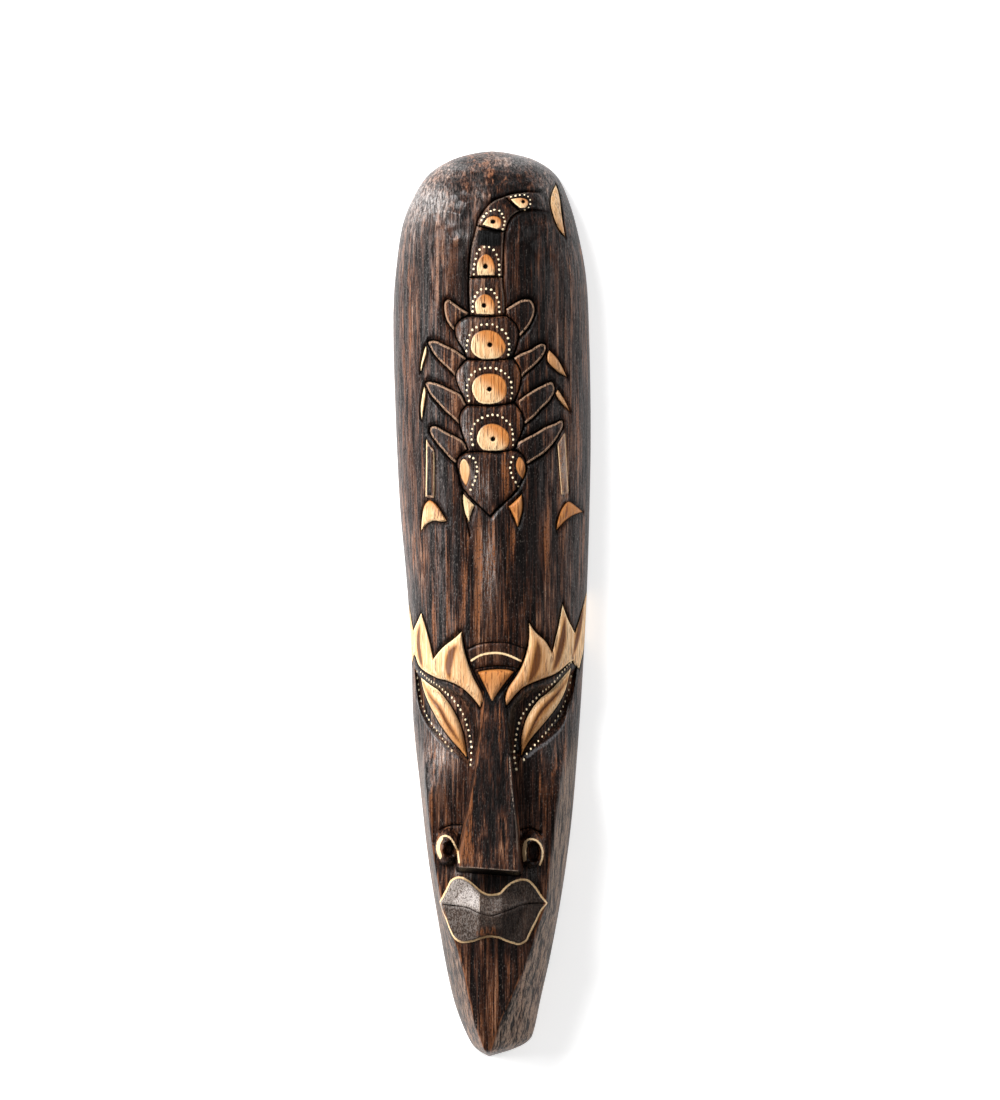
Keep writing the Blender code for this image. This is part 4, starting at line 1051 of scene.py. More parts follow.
# %% Distances to the figures
body = depth_inside(sheet, scorpion)
joint = np.where(body > 0, nearest(sheet, joints), FAR)
leg_sides = [np.where(inside(sheet, leg), 1, -1) * distance_from(sheet, leg) for leg in legs]
leg = np.where(body > 0, -FAR, np.max(leg_sides, axis=0))
leg_cut = np.where(body > 0, FAR, nearest(sheet, legs))
strip = deepest_inside(sheet, lower_legs)
blade = deepest_inside(sheet, blades)
inlay = deepest_inside(sheet, inlays)
hole = np.min([np.hypot(*(sheet - place).T) for place in holes], axis=0)
crown = deepest_inside(sheet, crowns)
wedge_depth = depth_inside(sheet, wedge)
socket = deepest_inside(sheet, sockets)
eye = deepest_inside(sheet, eyes)
lip = depth_inside(sheet, mouth)
groove = nearest(sheet, v_grooves + [jaw_ground])
arc = nearest(sheet, arcs)
vein = nearest(sheet, veins)
seam = distance_from(sheet, parting)
dot = np.full(len(sheet), -FAR)
for place, size in zip(dots, dot_sizes):
    dot = np.maximum(dot, size - np.hypot(*(sheet - place).T))
print(f"{(body > 0).mean():.0%} of the places are on the scorpion's body")
print(f"{(socket > 0).mean():.0%} of them are in the sockets")

# %% [markdown]
# ## Relief of the scorpion and the leaves
#
# Heights are in drawn millimetres above the back plane. The log comes first,
# then what stands up (plates, legs, leaves), then the knife cuts round it. At
# the end of the tail the outline fades out, as the real one runs out there.

# %% Plates, legs and leaves
PLATE_BULGE = 1.3
PLATE_ROUND_WIDTH = 6.0
LEAF_BULGE = 1.6
LEAF_ROUND_WIDTH = 5.0
LEG_HOLLOW = 0.5
LEG_RIM = 1.2
CUT_DEPTH = 1.5
STRIP_SHARE = 0.4  # depth of the lower legs' cuts, as a share of CUT_DEPTH
STRIP_CUT = (0.9, 1.8)
GROOVE_SHARE = 0.8
GROOVE_HALF_WIDTH = 1.6
ARC_SHARE = 0.6
ARC_HALF_WIDTH = 1.2
NICK_DEPTH = 0.45  # sharp bottom of a cut
TAIL_CLEAR = 0.35  # share of TAIL_FADE without any cut

depth_y, depth_share = np.array(DEPTH_SHARES).T
round_off = crown_share(y) * chin_share(y) * skin(y, side, t)
height = DRAWN_DEPTH * np.interp(y, depth_y, depth_share) * round_off

plate = np.where(body > 0, np.minimum(body, joint), -FAR)
height += PLATE_BULGE * bulge(np.max([plate, leg, strip, blade], axis=0), PLATE_ROUND_WIDTH)
height += LEAF_BULGE * bulge(np.maximum(crown, wedge_depth), LEAF_ROUND_WIDTH)
height -= LEG_HOLLOW * ease((leg - LEG_RIM) / LEG_RIM)

from_tail = np.hypot(*(np.column_stack([x, y]) - TAIL_END).T)
whole = ease(from_tail / TAIL_FADE - TAIL_CLEAR)
figures = [np.where(body > 0, FAR, figure) for figure in (leg, blade)] + [crown, wedge_depth]
height -= CUT_DEPTH * np.max([whole * cut(body)] + [cut(figure) for figure in figures], axis=0)
height -= STRIP_SHARE * CUT_DEPTH * cut(strip, *STRIP_CUT)
height -= CUT_DEPTH * np.max([
    cut(joint),
    GROOVE_SHARE * cut(groove, GROOVE_HALF_WIDTH, GROOVE_HALF_WIDTH),
    ARC_SHARE * cut(arc, ARC_HALF_WIDTH, ARC_HALF_WIDTH),
], axis=0)
sharp = np.min([abs(body), joint, leg_cut, abs(crown), groove], axis=0)
height -= NICK_DEPTH * whole * nick(sharp)
print(f"the scorpion stands up to {height[body > 0].max():.1f} drawn mm")

# %% Eyes, inlays and holes
SOCKET_DEPTH = 6.2
SOCKET_SLOPE = 6.0
EYE_RISE = 3.4
EYE_ROUND_WIDTH = 4.5
EYE_NICK = 0.4
EYE_NICK_HALF_WIDTH = 1.2
VEIN_DEPTH = 0.7
VEIN_CUT_HALF_WIDTH = 1.1
INLAY_NICK = 0.3
INLAY_NICK_HALF_WIDTH = 0.5
HOLE_DEPTH = 1.6
HOLE_EDGE = 1.6  # a hole's side ends at this many radii

height -= SOCKET_DEPTH * ease(socket / SOCKET_SLOPE)
height += EYE_RISE * bulge(eye, EYE_ROUND_WIDTH)
veins_and_inlays = VEIN_DEPTH * nick(vein, VEIN_CUT_HALF_WIDTH)
veins_and_inlays += INLAY_NICK * nick(inlay, INLAY_NICK_HALF_WIDTH)
height -= veins_and_inlays + EYE_NICK * nick(eye, EYE_NICK_HALF_WIDTH)
height -= HOLE_DEPTH * ease(HOLE_EDGE - hole / HOLE_RADIUS)
print(f"the eyes stand up to {height[eye > 0].max():.1f} drawn mm")

# %% [markdown]
# ## Relief of the nose and the lips
#
# The wings are half ellipsoids. The nose is a slanting plane with steep flanks
# and a steep underside, and the higher of nose and face counts, with the edge
# between them blunted. The lips are facets: their height falls evenly from the
# ridges to the sides and from the parting line up and down.

# %% Nose and lips
NOSE_HEIGHT = DRAWN_HEIGHT + 0.1
NOSE_ROOT_SHARE = 0.73
NOSE_FLANK = 9.0  # fall of its flanks, in mm a mm
NOSE_UNDERSIDE = 7.0
NOSE_FOOT_BLUNT = 1.2
WING_RISE = 7.5
NOSTRIL_DEPTH = 7.0
NOSTRIL_LIP = 0.5
LIP_STEP = 2.6
LIP_STEP_WIDTH = 1.0
LIP_RISE = 6.5
LIP_ROUND_WIDTH = 1.6
PARTING_DEPTH = 1.1
PARTING_HALF_WIDTH = 1.0
LIP_RIDGES = (-6.9, 5.6)  # x of the ridges between the lips' middle and side facets
LIP_SIDE_REACH = 15.0  # a side facet falls by LIP_RISE over this
LIP_REACH = 21.0  # the same for the middle facets, above and below the parting

for wing in WINGS:
    height += WING_RISE * np.sqrt(1 - np.clip(ellipse_share(*wing), 0, 1) ** 2)
share = np.minimum((NOSE_ROOT_Y - y) / (NOSE_ROOT_Y - NOSE_TIP_Y), 1)
beside_nose = np.maximum(nose_left_at(y) - x, x - nose_right_at(y)).clip(0)
nose = NOSE_HEIGHT * (NOSE_ROOT_SHARE + (1 - NOSE_ROOT_SHARE) * share)
nose -= NOSE_FLANK * beside_nose + NOSE_UNDERSIDE * (tip_at(x) - y).clip(0)
height = -blunt_min(-height, -nose, NOSE_FOOT_BLUNT)
for nostril in NOSTRILS:
    height -= NOSTRIL_DEPTH * bulge(1 - ellipse_share(*nostril), NOSTRIL_LIP)

parting_curve = catmull_rom(np.array(PARTING), False)
above_parting = y - np.interp(x, *parting_curve.T)
past_ridge = np.maximum(LIP_RIDGES[0] - x, x - LIP_RIDGES[1]).clip(0)
facet = (1 - past_ridge / LIP_SIDE_REACH - abs(above_parting) / LIP_REACH).clip(0)
height += LIP_STEP * bulge(lip, LIP_STEP_WIDTH) + LIP_RISE * facet * ease(lip / LIP_ROUND_WIDTH)
height -= PARTING_DEPTH * np.where(lip > 0, nick(seam, PARTING_HALF_WIDTH), 0)
print(f"the nose stands up to {height.max():.1f} drawn mm, the lips to {height[lip > 0].max():.1f}")

# %% Dots and chisel marks
DOT_HEIGHT = 0.22
DOME_Y = 175.0  # the crown's short, deep scoops begin here
DOME_FADE = 25.0
DOME_SCOOP = (9.0, 8.0)
DOME_SCOOP_DEPTH = 2.3
LOG_SCOOP = (6.0, 46.0)
LOG_SCOOP_DEPTH = 0.9
SCOOP_FADE = 3.0  # the scoops stop that far from all carving
EDGE_FADE = 30.0

height += DOT_HEIGHT * np.sqrt(np.clip(dot * 2 / DOT_RADIUS, 0, 1))
carved = np.max([body, leg, strip, blade, crown, wedge_depth, socket, lip], axis=0)
plain = ease(-carved / SCOOP_FADE) * ease(t * EDGE_FADE + 0.2)
dome = ease((y - DOME_Y) / DOME_FADE)
marks = dome * DOME_SCOOP_DEPTH * scoops(sheet, DOME_SCOOP, 3)
marks += (1 - dome) * LOG_SCOOP_DEPTH * scoops(sheet, LOG_SCOOP, 4)
height = np.maximum(height + plain * marks * round_off, 0)
height[: len(edge)] = 0
print(f"heights up to {height.max():.1f} drawn mm")

# %% [markdown]
# ## Back
#
# The photograph doesn't show the back. Such masks are scooped out behind, so
# that they dry without cracking and weigh little, and are left with a flat
# rim. The hollow has the marks of a round gouge, run along the grain.

# %% Back
RIM_WIDTH = 12.0
CROWN_WOOD = 28.0  # solid wood above the hollow
CHIN_WOOD = 75.0  # and below it
HOLLOW_DEPTH = 30.0
HOLLOW_TOP_ROUNDING = 45.0
HOLLOW_BOTTOM_ROUNDING = 90.0
HOLLOW_ROUNDNESS = 2.2
HOLLOW_ROWS = 140
HOLLOW_COLUMNS = 46
GOUGE = (6.0, 24.0)
GOUGE_DEPTH = 0.7
GOUGE_FADE = 8.0  # the gouge's marks come in over this height

top, bottom = CROWN_Y - CROWN_WOOD, CHIN_Y + CHIN_WOOD
hollow_y = top + (bottom - top) * (1 - np.cos(np.linspace(0, math.pi, HOLLOW_ROWS)))[1:-1] / 2
above = np.clip(1 - (top - hollow_y) / HOLLOW_TOP_ROUNDING, 0, 1)
below = np.clip(1 - (hollow_y - bottom) / HOLLOW_BOTTOM_ROUNDING, 0, 1)
end = np.sqrt((1 - above**2) * (1 - below**2))
left = -(half_width(hollow_y, -1) - RIM_WIDTH) * end
right = (half_width(hollow_y, 1) - RIM_WIDTH) * end
middle = front_at(hollow_y)
hollow_line = np.vstack([
    [(front_at(top), top)],
    np.column_stack([middle + left, hollow_y]),
    [(front_at(bottom), bottom)],
    np.column_stack([middle + right, hollow_y])[::-1],
])
across = np.sin(np.linspace(-math.pi / 2, math.pi / 2, HOLLOW_COLUMNS))[1:-1]
scoop_x = middle[:, None] + np.where(across < 0, -np.outer(left, across), np.outer(right, across))
scoop_z = HOLLOW_DEPTH * np.outer(end, np.sqrt(1 - abs(across) ** HOLLOW_ROUNDNESS))
scoop = np.column_stack([scoop_x.ravel(), np.repeat(hollow_y, len(across))])

flat = np.vstack([edge, hollow_line, scoop])
hollow_run = np.arange(len(edge), len(edge) + len(hollow_line))
back, back_triangles = triangulated(flat, np.arange(len(edge)), [hollow_run], [])
assert len(back) == len(flat)
gouge_marks = scoops(scoop, GOUGE, 5) * ease(scoop_z.ravel() / GOUGE_FADE)
gouged = scoop_z.ravel() - GOUGE_DEPTH * gouge_marks
back_height = np.concatenate([np.zeros(len(edge) + len(hollow_line)), gouged])
print(f"back: {len(back)} places and {len(back_triangles)} triangles")

# %% [markdown]
# ## One mesh
#
# Front and back share the places of the mask's edge, so the back's triangles
# are turned round and hung on the front's first places. Edges sharper than 48
# degrees stay crisp in the shading, and all else is smooth.

# %% One mesh
SHARP_ANGLE = 48

points = np.vstack([
    np.column_stack([x, y, height]),
    np.column_stack([back, back_height])[len(edge) :],
]) * (ACROSS, UNIT, RAISE)
shift = (np.array(low) + np.array(high) - points.max(0) - points.min(0)) / 2
points += (*shift[:2], low.z)
joined = np.concatenate([np.arange(len(edge)), len(sheet) + np.arange(len(back) - len(edge))])
triangles = np.vstack([front_triangles, joined[back_triangles][:, ::-1]])

mesh = bpy.data.meshes.new("carved_mask")
mesh.from_pydata(points.tolist(), [], triangles.tolist())
mesh.shade_smooth()
mesh.set_sharp_from_angle(angle=math.radians(SHARP_ANGLE))
mask = bpy.data.objects.new("carved_mask", mesh)
bpy.context.scene.collection.objects.link(mask)
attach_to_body(mask, "root")
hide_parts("mask")
print(f"carved_mask: {len(points)} places, {len(triangles)} triangles")

# %% [markdown]
# ## Bare wood, paint and black cuts
#
# The distances that shaped the relief go along as attributes, one number for
# each place, and the material later compares them with widths. A painted image
# would need a flat map of the mask and would blur in the narrow lines.

# %% Depths of bare wood, and of black and painted shadow
LINE_HALF_WIDTH = 0.72
THICK_HALF_WIDTH = 0.95
STRIP_LINE_HALF_WIDTH = 0.55
STREAK_HALF_WIDTH = 4.2
VEIN_HALF_WIDTH = 2.8
TAPER_POWER = 0.6
TAIL_Y = 155.0  # the tail's outline is thinner, from here up
TAIL_Y_FADE = 10.0
TAIL_THINNER = 0.4
TAIL_GAP_MIDDLE = (-1.4, 201.4)  # black field between two of the tail's discs
TAIL_GAP_HALVES = (5.6, 3.6)
TIP_SHADE_BELOW = 1.9  # the painted shadow under the nose's tip
TIP_SHADE_HALF_WIDTH = 1.2
TIP_SHADE_BESIDE = 1.5


def attach(name, values, behind):
    """Puts a number on each place, with one value for all places of the back."""
    values = np.concatenate([values, np.full(len(points) - len(values), behind)])
    column = mesh.attributes.new(name, "FLOAT", "POINT")
    column.data.foreach_set("value", values.astype(np.float32))


def taper(lines, half_width):
    """Depth inside strokes that swell from nothing at both ends of each line."""
    depth = np.full(len(sheet), -FAR)
    for line in lines:
        swell = np.sin(np.linspace(0, math.pi, len(line))) ** TAPER_POWER
        for place, width in zip(line[::2], half_width * swell[::2]):
            depth = np.maximum(depth, width - np.hypot(*(sheet - place).T))
    return depth


scraped = np.max([
    LINE_HALF_WIDTH - abs(lip),
    LINE_HALF_WIDTH - nearest(sheet, nostril_rings),
    THICK_HALF_WIDTH - nearest(sheet, thick_rings),
    LINE_HALF_WIDTH - distance_from(sheet, pale_arc),
    STRIP_LINE_HALF_WIDTH - nearest(sheet, leg_lines),
], axis=0)
bare = np.max([blade, inlay, crown, wedge_depth, eye, scraped], axis=0)
bare = np.minimum(bare, hole - HOLE_RADIUS)
scorched = np.maximum(taper(streaks, STREAK_HALF_WIDTH), taper(veins, VEIN_HALF_WIDTH))

tail = ease((y - TAIL_Y) / TAIL_Y_FADE)
across_gap = abs(x - TAIL_GAP_MIDDLE[0]) - TAIL_GAP_HALVES[0]
along_gap = abs(y - TAIL_GAP_MIDDLE[1]) - TAIL_GAP_HALVES[1]
tail_gap = 0.5 * np.maximum(across_gap, along_gap)
# Painted shadow: a black band under the nose's tip and the line of the nose's foot stand in for the
# shadow that the tip casts
under_tip_shadow = abs(y - tip_at(x) + TIP_SHADE_BELOW) - TIP_SHADE_HALF_WIDTH
under_tip_shadow = np.maximum(under_tip_shadow, beside_nose - TIP_SHADE_BESIDE)
# A border is black out to a fixed width, so what is added to a distance makes it narrower
black_and_shadow = np.min([
    abs(body) - 0.1 + 1.6 * (1 - whole) + TAIL_THINNER * tail,
    joint,
    leg_cut + 0.05,
    abs(crown) + 0.1,
    groove,
    arc + 0.1,
    abs(blade) + 0.15,
    abs(wedge_depth),
    abs(eye) - 0.2,
    under_tip_shadow,
    tail_gap,
    distance_from(sheet, nose_foot) - 0.2,
    seam + 0.25,
    hole - HOLE_RADIUS,
], axis=0)
attach("bare", np.clip(bare, -3, 9), -3)
attach("painted", np.clip(dot, -3, 3), -3)
attach("black_and_shadow", np.clip(black_and_shadow, -2, 4), 4)
attach("streak", np.clip(scorched, -3, 3), -3)
print(f"{(bare > 0).mean():.0%} of the front's places are bare wood")

# %% Edges, painted highlights, sockets and painted light on the lips
UPPER_LIP_LIGHT = (0.86, 0.53, 0.44)  # painted light of the left, middle and right facet, 0 black and 1 light grey
LOWER_LIP_LIGHT = (0.60, 0.44, 0.33)
FLANK_FADE = 0.08  # share of the half width over which the jaw's side takes its own tone
FLANK_FADE_LENGTH = 20.0
LEFT_FLANK = 0.55  # the left side, which the lamp lights more, has that much of the right side's painted sheen
TAIL_HIGHLIGHT_INSIDE = 0.9  # the painted highlight along the tail's edge lies that far inside its outline

ridges = nearest(sheet, jaw_edges + nose_edges[:1])
tail_highlight = np.where(tail > 0.5, abs(body - TAIL_HIGHLIGHT_INSIDE) + 3 * (1 - whole), FAR)
# Painted highlights on edges: along the nose's right edge and its tip, on the first lip crease and
# along the tail's outline
painted_highlight = np.minimum(nearest(sheet, [nose_shine, nose_tip] + lip_creases[:1]), tail_highlight)
# Painted light on the lips: each facet gets a tone by how it faces the lamp, lightest on the upper
# left
column = np.where(past_ridge == 0, 1, np.where(x < 0, 0, 2))
upper_lip_light, lower_lip_light = np.array(UPPER_LIP_LIGHT)[column], np.array(LOWER_LIP_LIGHT)[column]
flank = ease((t - jaw_share(y, side)) / FLANK_FADE) * ease((JAW_TOP_Y - y) / FLANK_FADE_LENGTH)
attach("leg", np.clip(np.maximum(leg, strip), -3, 9), -3)
attach("ridge", np.clip(ridges, 0, 9), 9)
attach("painted_highlight", np.clip(painted_highlight, 0, 9), 9)
attach("socket", np.clip(socket, -3, 9), -3)
attach("lip", np.clip(lip, -3, 9), -3)
attach("lip_light_tone", np.where(above_parting > 0, upper_lip_light, lower_lip_light), 0)
attach("dome", dome, 0)
attach("flank", flank * np.where(side < 0, LEFT_FLANK, 1), 0)
# Distance from the lines of the painted bevel highlight
attach("bevel_highlight", np.clip(nearest(sheet, bevel_highlights), 0, 9), 9)
print(f"{len(mesh.attributes)} attributes so far")

# %% [markdown]
# ## Patches of tone
#
# Stain and hands leave some places browner. Other patches are painted light: grey ones paint the
# sheen on faces that turn towards the lamp at the upper left, and dark ones paint shade on the right
# side, away from the lamp, and under the nose and the lower lip, besides places that are only darker.
# Each patch is a soft ellipse, e to the minus squared share of its size, times its strength. Noise
# alone could do it, but then the tones wouldn't sit where the light and the wear put them on this
# mask.

# %% Patches of orange, of painted sheen, and of painted shade and darker places
ORANGE_PATCHES = [
    ((-4.9, 238.4), 11.0, 11.0, 1.0), ((-11.0, 176.0), 2.2, 11.0, 1.5),
    ((7.2, 69.3), 2.0, 16.0, 1.8), ((14.4, 126.2), 2.2, 8.0, 1.2), ((13.8, 98.6), 2.2, 9.0, 1.2),
    ((-25.9, 153.9), 3.0, 10.0, 0.8), ((4.4, 21.3), 26.0, 40.0, 0.6),
    ((47.0, 90.3), 4.0, 60.0, 0.8), ((-30.4, -108.6), 6.0, 30.0, 0.7),
    ((29.3, -103.0), 7.0, 32.0, 0.8), ((4.4, -64.4), 2.5, 24.0, 1.2),
    ((-13.2, -130.7), 2.5, 16.0, 1.6), ((-6.6, -103.0), 1.8, 16.0, 1.1),
    ((-1.6, -180.9), 7.0, 3.5, 1.8), ((-1.1, -210.8), 12.0, 30.0, 0.25),
    ((-49.1, 112.4), 3.0, 50.0, 0.7), ((-39.8, 95.9), 3.0, 25.0, 0.8),
    ((-46.4, 167.7), 3.0, 40.0, 0.7), ((-22.1, 24.0), 3.0, 30.0, 0.8),
    ((29.3, 35.1), 2.5, 18.0, 1.0), ((-25.9, 135.1), 3.0, 5.0, 1.0), ((24.9, 134.0), 3.0, 5.0, 1.0),
    ((-27.0, 111.9), 3.0, 6.0, 1.0), ((26.5, 111.3), 3.0, 6.0, 1.0), ((-14.3, 7.5), 1.6, 40.0, 1.1),
    ((8.9, 7.5), 1.5, 40.0, 1.2), ((17.7, 1.9), 1.5, 35.0, 1.0), ((-33.7, 1.9), 1.5, 40.0, 0.8),
    ((-24.8, 87.0), 3.0, 6.0, 0.9), ((27.1, 89.8), 3.0, 6.0, 1.0), ((-22.1, 159.4), 2.5, 5.0, 0.8),
    ((17.7, 159.4), 2.5, 6.0, 0.8),
]
# Grey patches paint sheen, mostly on faces that turn towards the lamp at the upper left, and on the
# dome
SHEEN_PATCHES = [
    ((-30.4, 221.3), 8.0, 8.0, 1.7), ((-44.2, 151.1), 8.0, 75.0, 0.45),
    ((-16.0, 145.6), 4.5, 9.0, 1.6), ((-16.0, 122.4), 4.5, 9.0, 1.6),
    ((-13.8, 95.9), 4.5, 9.0, 1.5), ((-7.7, 65.5), 7.0, 12.0, 1.3),
    ((-39.8, 24.0), 10.0, 40.0, 0.4), ((-1.6, 24.0), 5.0, 30.0, 0.8),
    ((-33.1, 222.9), 18.0, 20.0, 0.6), ((-2.7, 13.0), 8.0, 30.0, 0.5),
    ((-28.7, -75.4), 14.0, 35.0, 0.7), ((-7.7, 167.7), 3.5, 20.0, 1.0),
    ((-28.7, -80.9), 10.0, 12.0, 0.6), ((-13.2, 203.6), 4.0, 8.0, 1.0),
    ((39.3, 74.9), 2.2, 22.0, 1.6), ((12.7, 243.4), 16.0, 5.0, 1.0),
    ((-20.4, 239.5), 12.0, 5.0, 0.8), ((-16.0, -148.3), 7.0, 4.0, 1.8),
    ((21.6, -147.8), 6.0, 4.0, 1.0), ((-6.6, 225.7), 5.0, 9.0, 0.9),
    ((-42.5, 220.2), 5.0, 20.0, 0.7), ((21.0, -219.1), 5.0, 30.0, 0.6),
    ((29.3, 228.5), 6.0, 12.0, 0.8),
]
# Dark patches: painted shade on the right side, away from the lamp, under the nose's tip and wings
# and under the lower lip; the others only darken their places
SHADE_AND_DARK_PATCHES = [
    ((0.0, 201.9), 6.0, 5.0, 2.5), ((21.0, 195.3), 16.0, 30.0, 1.1),
    ((25.4, 24.0), 12.0, 35.0, 0.9), ((2.8, -108.6), 11.0, 30.0, 1.4),
    ((1.1, -78.2), 10.0, 25.0, 0.5), ((1.7, -152.8), 16.0, 4.5, 2.0),
    ((-23.2, -145.0), 7.0, 4.0, 1.5), ((22.7, -146.1), 8.0, 4.5, 1.5),
    ((1.7, 235.1), 26.0, 9.0, 0.9), ((3.3, -190.3), 12.0, 4.0, 1.2), ((7.2, 222.9), 18.0, 8.0, 1.2),
    ((26.5, 134.5), 10.0, 50.0, 0.8), ((19.9, -80.9), 8.0, 30.0, 0.8),
    ((-19.9, 214.6), 8.0, 22.0, 0.3), ((0.6, -197.0), 14.0, 20.0, 0.4),
    ((-2.7, -64.4), 8.0, 25.0, 0.5),
]
SHADE_WIDTH = 3.2  # painted shade in the ground beside the figures, this wide


def patches(spots):
    """Sum of soft ellipses, each given as centre, half across, half up and strength."""
    soft = [strength * np.exp(-ellipse_share(*spot) ** 2) for *spot, strength in spots]
    return np.sum(soft, axis=0)


# Painted shade in the sunk ground beside the raised figures
figure_gap = -np.max([body, leg, blade, crown, wedge_depth], axis=0)
painted_shade = np.where(figure_gap > 0, np.exp(-((figure_gap / SHADE_WIDTH) ** 2)), 0)
attach("orange", np.clip(patches(ORANGE_PATCHES), 0, 2), 0.2)
attach("sheen", np.clip(patches(SHEEN_PATCHES), 0, 2), 0.3)
attach("shade_and_dark", np.clip(patches(SHADE_AND_DARK_PATCHES) + painted_shade, 0, 2), 0)
print(f"{len(ORANGE_PATCHES + SHEEN_PATCHES + SHADE_AND_DARK_PATCHES)} patches of tone")

# %% Warmth of the bare wood
LINE_WARMTH = 0.2
WARMTH = [  # loops, warmth at their middle, and its rise a millimetre to the right and up
    (inlays[:7], 0.42, (0.055, 0.070)),
    (inlays[7:8], 0.45, (0.0, -0.02)),
    (inlays[8:], 0.75, (0.0, 0.0)),
    (blades[:1], 0.35, (0.0, -0.01)),
    (blades[1:2], 0.1, (0.0, 0.0)),
    (blades[2:3], 0.75, (0.0, 0.0)),
    (blades[3:4], 0.35, (0.02, 0.05)),
    (blades[4:5], 0.7, (0.0, 0.0)),
    (blades[5:7], 0.1, (0.0, 0.0)),
    (blades[7:], 0.5, (0.0, 0.0)),
    (crowns[:1], 0.15, (0.004, -0.004)),
    (crowns[1:], 0.25, (-0.004, -0.006)),
    ([wedge], 0.68, (0.0, 0.015)),
    (eyes, 0.35, (0.0, -0.010)),
]

warm = np.where(scraped > -1, LINE_WARMTH, 0)
for group_loops, base, rise in WARMTH:
    for loop in group_loops:
        tint = base + (sheet - loop.mean(0)) @ rise
        warm = np.where(depth_inside(sheet, loop) > -1, tint, warm)
attach("warm", np.clip(warm, 0, 1), 0)
print(f"warmth of the bare wood from 0 to {warm.clip(0, 1).max():.2f}")

# %% [markdown]
# ## Helpers for materials
#
# A material is a small program of nodes. These helpers add a node with its
# settings and link what goes in, so that a material reads as a list of steps.

# %% Node helpers
def add(tree, kind, settings, *values, **named):
    """Adds a shader node. Values go in by place or by name, as numbers or other nodes' outputs."""
    made = tree.nodes.new("ShaderNode" + kind)
    for name, value in settings.items():
        setattr(made, name, value)
    sockets = list(zip(made.inputs, values))
    sockets += [(made.inputs[name.replace("_", " ")], value) for name, value in named.items()]
    for socket, value in sockets:
        if isinstance(value, bpy.types.NodeSocket):
            tree.links.new(value, socket)
        elif value is not None:
            socket.default_value = value
    return made


def calculate(tree, operation, *values):
    """The result of a Math node."""
    return add(tree, "Math", {"operation": operation}, *values).outputs[0]


def between(tree, value, start, end):
    """0 below start and 1 above end, eased."""
    eased = {"interpolation_type": "SMOOTHSTEP"}
    return add(tree, "MapRange", eased, Value=value, From_Min=start, From_Max=end).outputs[0]


def mixed(tree, factor, a, b, blend="MIX"):
    """Two colours mixed by a factor."""
    made = add(tree, "Mix", {"data_type": "RGBA", "blend_type": blend})
    for index, value in ((0, factor), (6, a), (7, b)):
        if isinstance(value, bpy.types.NodeSocket):
            tree.links.new(value, made.inputs[index])
        else:
            made.inputs[index].default_value = value
    return made.outputs[2]


def ramp(tree, value, stops):
    """A colour from a value, straight between the stops, each a place and a colour."""
    made = add(tree, "ValToRGB", {}, value)
    for _ in stops[2:]:
        made.color_ramp.elements.new(0.5)
    for element, (position, colour) in zip(made.color_ramp.elements, stops):
        element.position = position
        element.color = (*colour, 1)
    return made.outputs["Color"]


def attribute(tree, name):
    """A number that the mesh holds for each place."""
    return add(tree, "Attribute", {"attribute_name": name}).outputs["Fac"]


def grain(tree, place, widths, detail, roughness):
    """Noise drawn out along the grain: widths are its size across, along and deep, in metres."""
    scale = [1 / width for width in widths]
    place = add(tree, "Mapping", {}, Vector=place, Scale=scale).outputs[0]
    settings = {"Vector": place, "Scale": 1.0, "Detail": detail, "Roughness": roughness}
    return add(tree, "TexNoise", {}, **settings).outputs["Fac"]


def shared_group(name, outputs):
    """An empty node group with a place as its input."""
    tree = bpy.data.node_groups.new(name, "ShaderNodeTree")
    tree.interface.new_socket("Place", in_out="INPUT", socket_type="NodeSocketVector")
    for label in outputs:
        tree.interface.new_socket(label, in_out="OUTPUT", socket_type="NodeSocketFloat")
    start, end = tree.nodes.new("NodeGroupInput"), tree.nodes.new("NodeGroupOutput")
    return tree, start.outputs["Place"], end.inputs


print("node helpers ready")

# %% [markdown]
# ## Grain
#
# The wood shows long fibres along the mask. Five noises, drawn out along the
# grain, give broad bands, narrow streaks, thin lines, short strokes and specks.
# They are worked out in the solid wood and not on its surface, so that a cut
# shows the same fibres as the skin beside it. Stain and bare wood share them,
# so they are a group.

# %% Grain group
GRAINS = {  # size across, along and deep in metres, detail and roughness of each noise
    "Bands": ((0.009, 0.16, 0.025), 2.0, 0.55),
    "Streaks": ((0.0030, 0.070, 0.005), 3.0, 0.55),
    "Lines": ((0.0012, 0.055, 0.0022), 2.0, 0.55),
    "Strokes": ((0.0008, 0.0110, 0.0016), 2.0, 0.6),
    "Specks": ((0.0006, 0.0013, 0.0010), 1.0, 0.5),
}

grain_tree, place, results = shared_group("wood_grain", GRAINS)
for name, settings in GRAINS.items():
    grain_tree.links.new(grain(grain_tree, place, *settings), results[name])
print("group wood_grain with", len(grain_tree.nodes), "nodes")

# %% [markdown]
# ## Stained wood
#
# The stain is nearly black where it pooled and brown where it was rubbed, with orange fibres that
# take less of it. One noise would look printed, so the tone is a sum of all five, moved up by the
# grey patches of painted sheen and down by the dark patches, which are partly painted shade. A ramp
# turns it into colours.

# %% Stain and its fibres
RAGGED_SCALE = 900.0
RAGGED = 0.6  # how far borders stray, in drawn mm
BLACK = (0.002, 0.0018, 0.0018, 1)
ORANGE_FIBRE = (0.20, 0.066, 0.020, 1)
STAIN_STOPS = [
    (0.0, (0.0024, 0.0013, 0.0011)),
    (0.3, (0.014, 0.0050, 0.0030)),
    (0.55, (0.052, 0.0180, 0.0085)),
    (0.8, (0.145, 0.064, 0.033)),
    (1.0, (0.33, 0.195, 0.125)),
]

